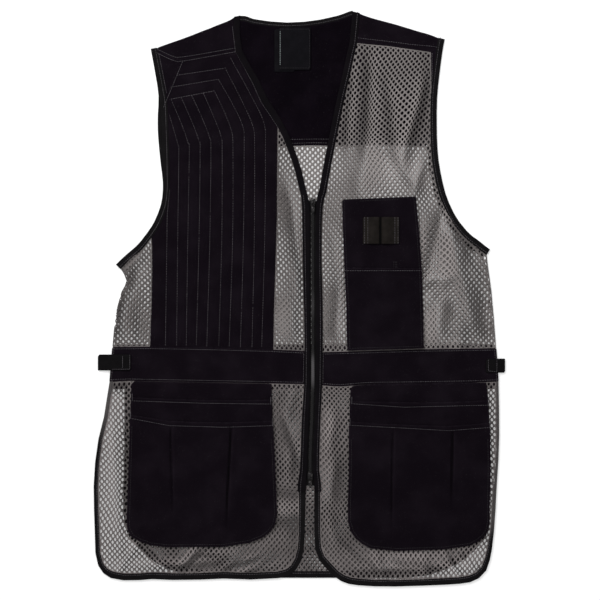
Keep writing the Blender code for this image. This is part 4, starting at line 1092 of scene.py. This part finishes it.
def metal_finish(name, colour, worn, roughness, metallic):
    """Dark hard surface, paler and smoother where hands and the slider rub it."""
    made, shader, place, _, _ = finish(name, roughness, specular=0.16, metallic=metallic)
    rubbed = place.noise(1.6).step(0.45, 0.7)
    # The field lit is a painted highlight, where a piece is given one, as the zip chain is.
    lit = place.field("lit").blend(rubbed.blend(colour, worn), (0.075, 0.071, 0.075))
    fed(shader, "Base Color", lit)
    fed(shader, "Roughness", roughness - rubbed * 0.12)
    return made


zip_plastic = metal_finish("zip_teeth", (0.0030, 0.0028, 0.0030), (0.0085, 0.008, 0.0085), 0.40, 0.0)
zip_metal = metal_finish("zip_metal", (0.008, 0.0075, 0.008), (0.055, 0.052, 0.052), 0.38, 0.5)

chain_laid = Laid("zip_chain", 2.0)
middle, way = paced(sum(rails(chain_laid, CHAIN_PITCH)) / 2, CHAIN_PITCH)
side = unit(left_of(way))
teeth_at = np.vstack([middle[:-1] + step * np.diff(middle, axis=0) + reach * side[:-1]
                      for step, reach in ((0.0, -TOOTH_REACH), (0.5, TOOTH_REACH))])
teeth = copied(stacked(rounded_box(*TOOTH), TOOTH_LEVELS),
               np.column_stack([teeth_at, chain_laid.at(teeth_at) - TOOTH_SUNK]),
               np.pad(np.tile(way[:-1], (2, 1)), ((0, 0), (0, 1))))
bed = np.stack([np.column_stack([middle + reach * side, chain_laid.at(middle) - BED_DROP])
                for reach in (-BED_REACH, BED_REACH)], axis=1)
points, faces = joined(teeth, (bed.reshape(-1, 3), halved(grid(len(bed), 2))))
lit = sum(strength * np.exp(-((points[:, 1] - y) / reach) ** power)
          for strength, y, reach, power in CHAIN_LIT)
sewn_in("zip_chain_teeth", points, faces, zip_plastic, "zip_teeth", "zip_chain", fields={"lit": lit})


# Each end of the zip has a metal slider with a bridge, and a pull tab that turns on its own pin.
# In millimetres: the place of each pin, the slider's plate, its bridge, and the pull with its pin.
SLIDER_PLACES = {"upper": (17.5, 128.5, 6.9), "lower": (13.95, -238.5, 8.2)}
SLIDER = {"width": 7.0, "tail": 5.6, "length": 11.0, "height": 3.4}
BRIDGE = {"reach": 2.5, "wire": 0.68, "pin_above_plate": 0.9}
PULL = {"width": 4.7, "length": 14.0, "thick": 1.0, "pin": 0.5}


def tube(path, radius, sides=8):
    """A round bar along an open row of places, closed at both ends."""
    path = np.asarray(path, float)
    way = unit(np.gradient(path, axis=0))
    side = np.cross(way, (1.0, 0.0, 0.0))
    side[np.linalg.norm(side, axis=1) < 1e-3] = (0, 1, 0)
    side = unit(side)
    turn = np.linspace(0, 2 * math.pi, sides, endpoint=False)[:, None]
    radius = np.broadcast_to(radius, len(path))[:, None, None]
    return solid(path[:, None] + radius * (np.cos(turn) * side[:, None]
                                           + np.sin(turn) * np.cross(way, side)[:, None]))


def flat_ring(loop, reach, thick):
    """A closed band round a loop: reach to each side, thick up and down, with round corners."""
    loop = loop[:-1]
    side = -left_of(unit(np.roll(loop, -1, axis=0) - np.roll(loop, 1, axis=0)))
    turn = np.radians(np.arange(8) * 45 + 22.5)
    out, up = np.array([np.cos(turn), np.sin(turn)])[..., None] / math.cos(math.radians(22.5))
    flat = loop + (out * reach).clip(-reach, reach)[..., None] * side
    high = np.broadcast_to((up * thick).clip(-thick, thick), flat.shape[:2])
    return (np.concatenate([flat, high[..., None]], axis=2).reshape(-1, 3),
            halved(grid(8, len(loop), around=True, back=True)))


def slider_shape():
    """Plate with wide shoulders and a narrower tail, with a bridge over its middle."""
    w, t, l = SLIDER["width"] / 2, SLIDER["tail"] / 2, SLIDER["length"] / 2
    half = [(t * 0.75, -l), (t, -l + 1.2), (w * 0.92, 0.4), (w, 2.4), (w * 0.9, l - 0.9), (w * 0.6, l)]
    top = -BRIDGE["pin_above_plate"]
    foot = top - SLIDER["height"]
    plate = stacked(half + [(-x, y) for x, y in half[::-1]],
                    ((foot, 0.5), (foot + 0.35, 0.0), (foot + 1.1, 0.05), (top - 2.2, 0.65),
                     (top - 1.2, 0.65), (top - 1.0, 0.0), (top - 0.3, 0.0), (top, 0.55)))
    arch = np.radians(np.linspace(0, 180, 15))
    bridge = tube(np.column_stack([np.zeros(15), np.cos(arch) * BRIDGE["reach"],
                                   top - 0.15 + np.sin(arch) * (BRIDGE["reach"] - 0.05)]),
                  BRIDGE["wire"] * (1 - 0.15 * np.sin(arch)))
    return joined(plate, bridge)


def pull_shape():
    """Two arms down to a plate, as one bent bar: a long ring with a crossbar and a pin."""
    half, end = PULL["width"] / 2 - 0.55, -PULL["length"] + 0.55 + PULL["pin"]
    turn = np.radians(np.linspace(0, 360, 33))
    ends = np.where(np.sin(turn) > 0, 1, -1) * (abs(end) / 2 - half)
    ring = np.column_stack([np.cos(turn) * half, (end - 0.05) / 2 + np.sin(turn) * half + ends])
    plate = stacked(rounded_box(2 * half + 0.4, 5.6, 0.7) + (0, end + 4.0),
                    ((-0.42, 0.15), (-0.3, 0.0), (0.3, 0.0), (0.42, 0.15)))
    pin = tube([(-half - 0.3, 0, 0), (0, 0, 0), (half + 0.3, 0, 0)], PULL["pin"] * 0.92)
    return joined(flat_ring(ring, 0.55, PULL["thick"] / 2), plate, pin)


for end, place in SLIDER_PLACES.items():
    for part, (points, faces), body in (("slider", slider_shape(), "vest"),
                                        ("pull", pull_shape(), f"{end}_tab")):
        sewn_in(f"{end}_zip_{part}", points + place, faces, zip_metal, "zip_metal",
                f"{end}_{part}", body=body)


# Webbing tabs at the ends of the belt are heavy woven polyester, folded round the side seam.
# Two bare woven labels are sewn in at the back of the neck.
def webbing_finish(name, colour, worn, rows, picks, depth, gap=None):
    """Woven tape: cords along one way crossed by finer picks, and a painted shade, nearly black, where a
    gap is named.
    """
    made, shader, place, x, y = finish(name, 0.75, specular=0.06)
    cord = y.wave(rows)
    pick = (x + cord * 0.6 - 0.3).wave(picks)
    base = (cord * 0.35 + pick * 0.25 + place.noise(9, 3.0).step(0.3, 0.7) * 0.4).blend(colour, worn)
    # Painted shade, nearly black, in the groove between the loops, within a couple of millimetres of x =
    # gap.
    if gap:
        base = x.math("ABSOLUTE", x - gap).step(0.9, 2.2).blend((0.0006, 0.0005, 0.0006), base)
    fed(shader, "Base Color", base)
    embossed(shader, cord * 0.6 + pick * 0.4, depth)
    return made


webbing = webbing_finish("black_webbing", (0.0010, 0.0007, 0.0010), (0.0034, 0.0030, 0.0035), 1.6,
                         1.1, 0.1)
label_satin = webbing_finish("label_satin", (0.0008, 0.0006, 0.0014), (0.0038, 0.0034, 0.0050), 0.42,
                             0.7, 0.04)
webbing_right, webbing_left = (
    Cloth(f"{side}_webbing_tab", f"webbing_tab_{side}", 2.0, made=webbing, slot="black_tape",
          wall=1.3, soften=2.5, seed=seed) for side, seed in (("right", 71), ("left", 72)))
care_label, neck_label = (
    Cloth(f"{name}_label_satin", f"{name}_label", 2.5, made=label_satin, slot="woven_label",
          wall=wall, roll=0.2, soften=2.5, seed=seed)
    for name, wall, seed in (("care", 0.5, 73), ("neck", 0.6, 74)))

# A strip of dark olive elastic is stitched down at its ends and middle, leaving two loops.
# Each loop is given by where it starts across the vest, and how wide it is.
LOOPS = ((91.5, 15.5), (109.0, 16.5))
LOOP_RISE = 1.2
LOOP_GROOVE = 107.8
GROOVE_DEPTH = 1.6
elastic_finish = webbing_finish("dark_elastic", (0.0042, 0.0033, 0.0028), (0.0150, 0.0122, 0.0108),
                                1.25, 0.9, 0.25, gap=LOOP_GROOVE)


def looped(points, depth):
    """Two rounded humps across the strip, with a groove between them."""
    x = points[:, 0]
    humps = sum(np.sin(math.pi * ((x - start) / wide).clip(0, 1)) ** 0.7 for start, wide in LOOPS)
    return LOOP_RISE * humps - GROOVE_DEPTH * np.exp(-((x - LOOP_GROOVE) / 1.5) ** 2)


elastic = Cloth("chest_elastic_loops", "elastic_loops", 1.2, looped, made=elastic_finish,
                slot="dark_elastic", wall=1.0, soften=3.0, seed=75)


# Black polyester thread, a little paler than the cloth: it shows as rows of short stitches.
# Each stitch is a small pointed bar, half sunk in the cloth, every 3.2 mm along its row.
STITCH_PACE = 3.2
STITCH_LENGTH = 2.9
STITCH_HIGH = 0.45
STITCH_RISE = 0.14
ROW_SHARE = 0.80
BAND_ROW_SHARE = 0.78
BELT_INSET = 2.0
BACK_BELT_INSET = 3.4


def thread_finish(name, roughness, specular, dark, light, size=5.0, detail=2.0, low=0.25):
    """Spun thread, in shades between a dark and a light one."""
    made, shader, place, _, _ = finish(name, roughness, specular=specular)
    fed(shader, "Base Color", place.noise(size, detail).step(low, 1 - low).blend(dark, light))
    return made


thread = thread_finish("black_thread", 0.55, 0.25, (0.024, 0.021, 0.025), (0.082, 0.074, 0.082))
pale_thread = thread_finish("grey_thread", 0.6, 0.2, (0.10, 0.115, 0.115), (0.18, 0.20, 0.20),
                            size=3.0, detail=1.0, low=0.3)
dark_thread = thread_finish("dark_thread", 0.6, 0.15, (0.008, 0.007, 0.008), (0.022, 0.019, 0.023))


def stitch_shape(length, thick):
    """A four-sided bar drawn to a point at each end."""
    turn = np.radians(45 + 90 * np.arange(4))
    ring = np.column_stack([np.zeros(4), np.cos(turn) * thick / 1.41,
                            np.sin(turn) * STITCH_HIGH / 1.41])
    points = np.vstack([[(-length / 2, 0, -STITCH_HIGH * 0.6)], ring + (-length * 0.3, 0, 0),
                        ring + (length * 0.3, 0, 0), [(length / 2, 0, -STITCH_HIGH * 0.6)]])
    faces = []
    for k in range(4):
        n = (k + 1) % 4
        faces += [(1 + k, 1 + n, 0), (5 + n, 1 + n, 1 + k), (5 + k, 5 + n, 1 + k), (5 + n, 5 + k, 9)]
    return points, np.array(faces)


def stitched(name, *rows, pace=STITCH_PACE, made=thread, thick=0.56):
    """Rows of stitches; each row is a line of places and the piece that gives their height."""
    places, ways = [], []
    for line, on in rows:
        place, way = paced(line, pace)
        height = on.height(place)
        places.append(np.column_stack([place, height + STITCH_RISE]))
        ways.append(np.column_stack([way, np.gradient(height)]))
    shape = stitch_shape(STITCH_LENGTH * pace / STITCH_PACE, thick)
    sewn_in(name, *copied(shape, np.concatenate(places), np.concatenate(ways)), made, "black_tape")


class Over:
    """Several panels as one: the height at a place is that of the highest panel there."""

    def __init__(self, *cloths):
        self.cloths = cloths

    def height(self, points):
        beside = np.maximum.reduce([c.at(points) for c in self.cloths])
        return np.maximum.reduce([np.where(within(points, c.outline), c.height(points), beside)
                                  for c in self.cloths])


def edge_row(cloth, start, end, inset=3.0):
    """A row of stitches along part of a panel's edge, a distance in from it."""
    return shifted(cloth.side(start, end), inset), cloth


shoulder = Over(right_yoke, gusset, gun_pad)
rows = [(line, gun_pad) for line in quilt_lines[:4] + quilt_lines[8:]]
rows += [(np.vstack([line[0] + unit(line[0] - line[1]) * 4.6, line]), gun_pad)
         for line in quilt_lines[4:8]]
stitched("gun_pad_quilting", *rows, pace=3.4)
stitched("pad_edge_stitches", ([(-90.2, 366), (-86.2, 331), (-63.4, 288.6), (-51.3, 261.8),
                                (-37.9, 242.3), (-29.5, 229)], shoulder),
         ([(-157.5, 316), (-171, 283), (-182, 257)], shoulder))
stitched("back_yoke_stitches", *[([(-176, y + 0.6), (0, y), (176, y + 0.6)], back_yoke)
                                 for y in (213.0, 207.6)])
stitched("right_yoke_stitches", (curved([(-190, 333.5), (-179, 328.5), (-169.9, 324.6),
                                         (-155.2, 323.8), (-87, 335.5)]), shoulder),
         (curved([(-190, 328.5), (-179, 323), (-168.6, 318.8), (-155.2, 318.1), (-87.5, 330.2)]),
          shoulder))
stitched("right_gusset_stitches", ([(-188.5, 326.6), (-178.5, 276)], gusset))
stitched("left_yoke_stitches", ([(79, 349.2), (118, 344.4), (150, 340.0), (183, 336.2)], left_yoke))
stitched("left_gusset_stitches", ([(177.4, 327.0), (177.3, 292.0)], left_gusset))
stitched("right_belt_stitches", (right_belt.rim(-BELT_INSET), right_belt))
stitched("left_belt_stitches", (left_belt.rim(-BELT_INSET), left_belt))
stitched("back_belt_stitches", (back_belt.rim(-BACK_BELT_INSET), back_belt))
top_row, cloth = edge_row(chest_patch, (164, 134), (60, 134))
stitched("chest_patch_stitches", (top_row[1:-1], cloth), edge_row(chest_patch, (60, 134), (58, 44)),
         edge_row(chest_patch, (165, 44), (164, 134)), made=dark_thread)
stitched("chest_side_stitches", edge_row(chest_pocket, (61, 40), (165, 40)),
         *[([(x, 48.5), (x, 42.0)], chest_patch) for x in (125.8, 127.8, 129.8)], made=dark_thread)
stitched("chest_pocket_stitches", ([(62, 37.1), (163, 37.1)], chest_pocket))
stitched("zip_band_stitches", *[(band.row(BAND_ROW_SHARE), band) for band in zip_bands])
stitched("neck_band_stitches", (neck_left.row(ROW_SHARE), neck_left))
stitched("binding_stitches", *[(strip.row(ROW_SHARE), strip) for strip in (
    armhole_right, armhole_left, back_armhole_right, back_armhole_left, back_neck, back_hem,
    hem_right, hem_left)])
stitched("elastic_stitches",
         *[([(x, 107.5), (x, 74.5)], elastic) for x in (86.6, 91.0, 127.2, 131.4)])
stitched("webbing_stitches", ([(-237.2, -78.5), (-237.2, -92)], webbing_right),
         ([(-227.6, -76.5), (-227.6, -94.6), (-250, -94.8)], webbing_right),
         ([(252.5, -83), (252.5, -97), (263.0, -98)], webbing_left),
         ([(263.8, -82.5), (263.8, -97)], webbing_left), pace=2.4)
stitched("label_stitches", ([(-26.2, 357), (-26.2, 313.4)], neck_label), made=pale_thread, pace=2.4,
         thick=1.0)
stitched("label_side_stitches",
         ([(-25.5, 360.5), (13, 360.5), (13, 308.5), (-25.5, 308.5)], neck_label),
         pace=3.4, made=dark_thread)
POCKET_ROWS = {
    ("right", "middle"): [(-224, -136.9), (-130, -140.2), (-39.3, -141.2)],
    ("right", "front"): [(-226.2, -160.3), (-174.9, -170), (-102.2, -172.2), (-37.3, -170)],
    ("left", "middle"): [(70.8, -140.8), (139.1, -145.5), (252.2, -142.8)],
    ("left", "front"): [(68.6, -169.6), (149.8, -173.9), (199, -176.9), (254.5, -172.6)],
}
BARTACK = 8.0
pocket_rows = {}
for (side, layer), row in POCKET_ROWS.items():
    cloth, name = pockets[side, layer], f"{side}_pocket_{layer}"
    tacks = [([(x, y + 1.0), (x, y + 1.0 + BARTACK)], cloth) for x, y in (row[0], row[-1])]
    stitched(f"{name}_stitches", (row, cloth))
    stitched(f"{name}_bartacks", *tacks, pace=1.0, thick=1.0)
    pocket_rows[side, layer] = [f"{name}_stitches", f"{name}_bartacks"]
    if layer == "front":
        edge, _ = edge_row(cloth, np.array(row[0]) + (-1, 4), np.array(row[-1]) + (1, 4), 3.2)
        stitched(f"{side}_pocket_edge_stitches", (edge[1:-1], cloth), made=dark_thread)
        pocket_rows[side, layer].append(f"{side}_pocket_edge_stitches")

# Each piece works out what it was cut to and is handed what it lies on and what is sewn to it;
# the sewn pieces are only looked up, and nothing is kept.
back_net_upper.cut("floor")
back_net_lower.cut(pouch_net)
pouch_net.cut("floor")
for net in (side_net, centre_net, right_skirt_net):
    net.cut(back_net_upper, back_net_lower)
left_chest_net.cut(back_net_upper, back_yoke)
left_skirt_net.cut(back_net_upper, back_net_lower)
back_yoke.cut("floor", sewn=["back_yoke_stitches", "binding_stitches"])
back_belt.cut("floor", sewn=["back_belt_stitches"])
right_yoke.cut(back_yoke, sewn=["right_yoke_stitches"])
left_yoke.cut(back_yoke, sewn=["left_yoke_stitches", "left_shoulder_gusset", "left_gusset_stitches"])
gusset.cut(back_yoke, sewn=["right_gusset_stitches"])
right_belt.cut(back_belt, sewn=["right_belt_stitches"])
left_belt.cut(back_belt, sewn=["left_belt_stitches"])
gun_pad.cut(back_net_upper, back_yoke, sewn=["gun_pad_quilting", "pad_edge_stitches"])
chest_patch.cut(left_chest_net, sewn=["chest_patch_stitches"])
chest_pocket.cut(chest_patch, sewn=["chest_pocket_stitches", "chest_side_stitches"])
for (side, layer), cloth in pockets.items():
    cloth.cut({"right": right_skirt_net, "left": left_skirt_net}[side],
              sewn=pocket_rows.get((side, layer), ()))
webbing_right.cut(right_belt, sewn=["webbing_stitches"])
webbing_left.cut(left_belt)
care_label.cut(back_yoke)
neck_label.cut(care_label, sewn=["label_stitches", "label_side_stitches"])
elastic.cut(chest_patch, sewn=["elastic_stitches"])
for strip, under in ((back_armhole_right, back_yoke), (back_armhole_left, back_yoke),
                     (back_neck, back_yoke), (back_hem, "floor"),
                     (armhole_right, back_armhole_right), (armhole_left, back_armhole_left),
                     (hem_right, back_hem), (hem_left, back_hem), (neck_right, back_yoke)):
    strip.cut(under)
neck_left.cut(back_yoke, sewn=["neck_band_stitches"])
zip_bands[0].cut(zip_tapes[0], sewn=["right_zip_tape", "zip_band_stitches"])
zip_bands[1].cut(zip_tapes[1], sewn=["left_zip_tape"])
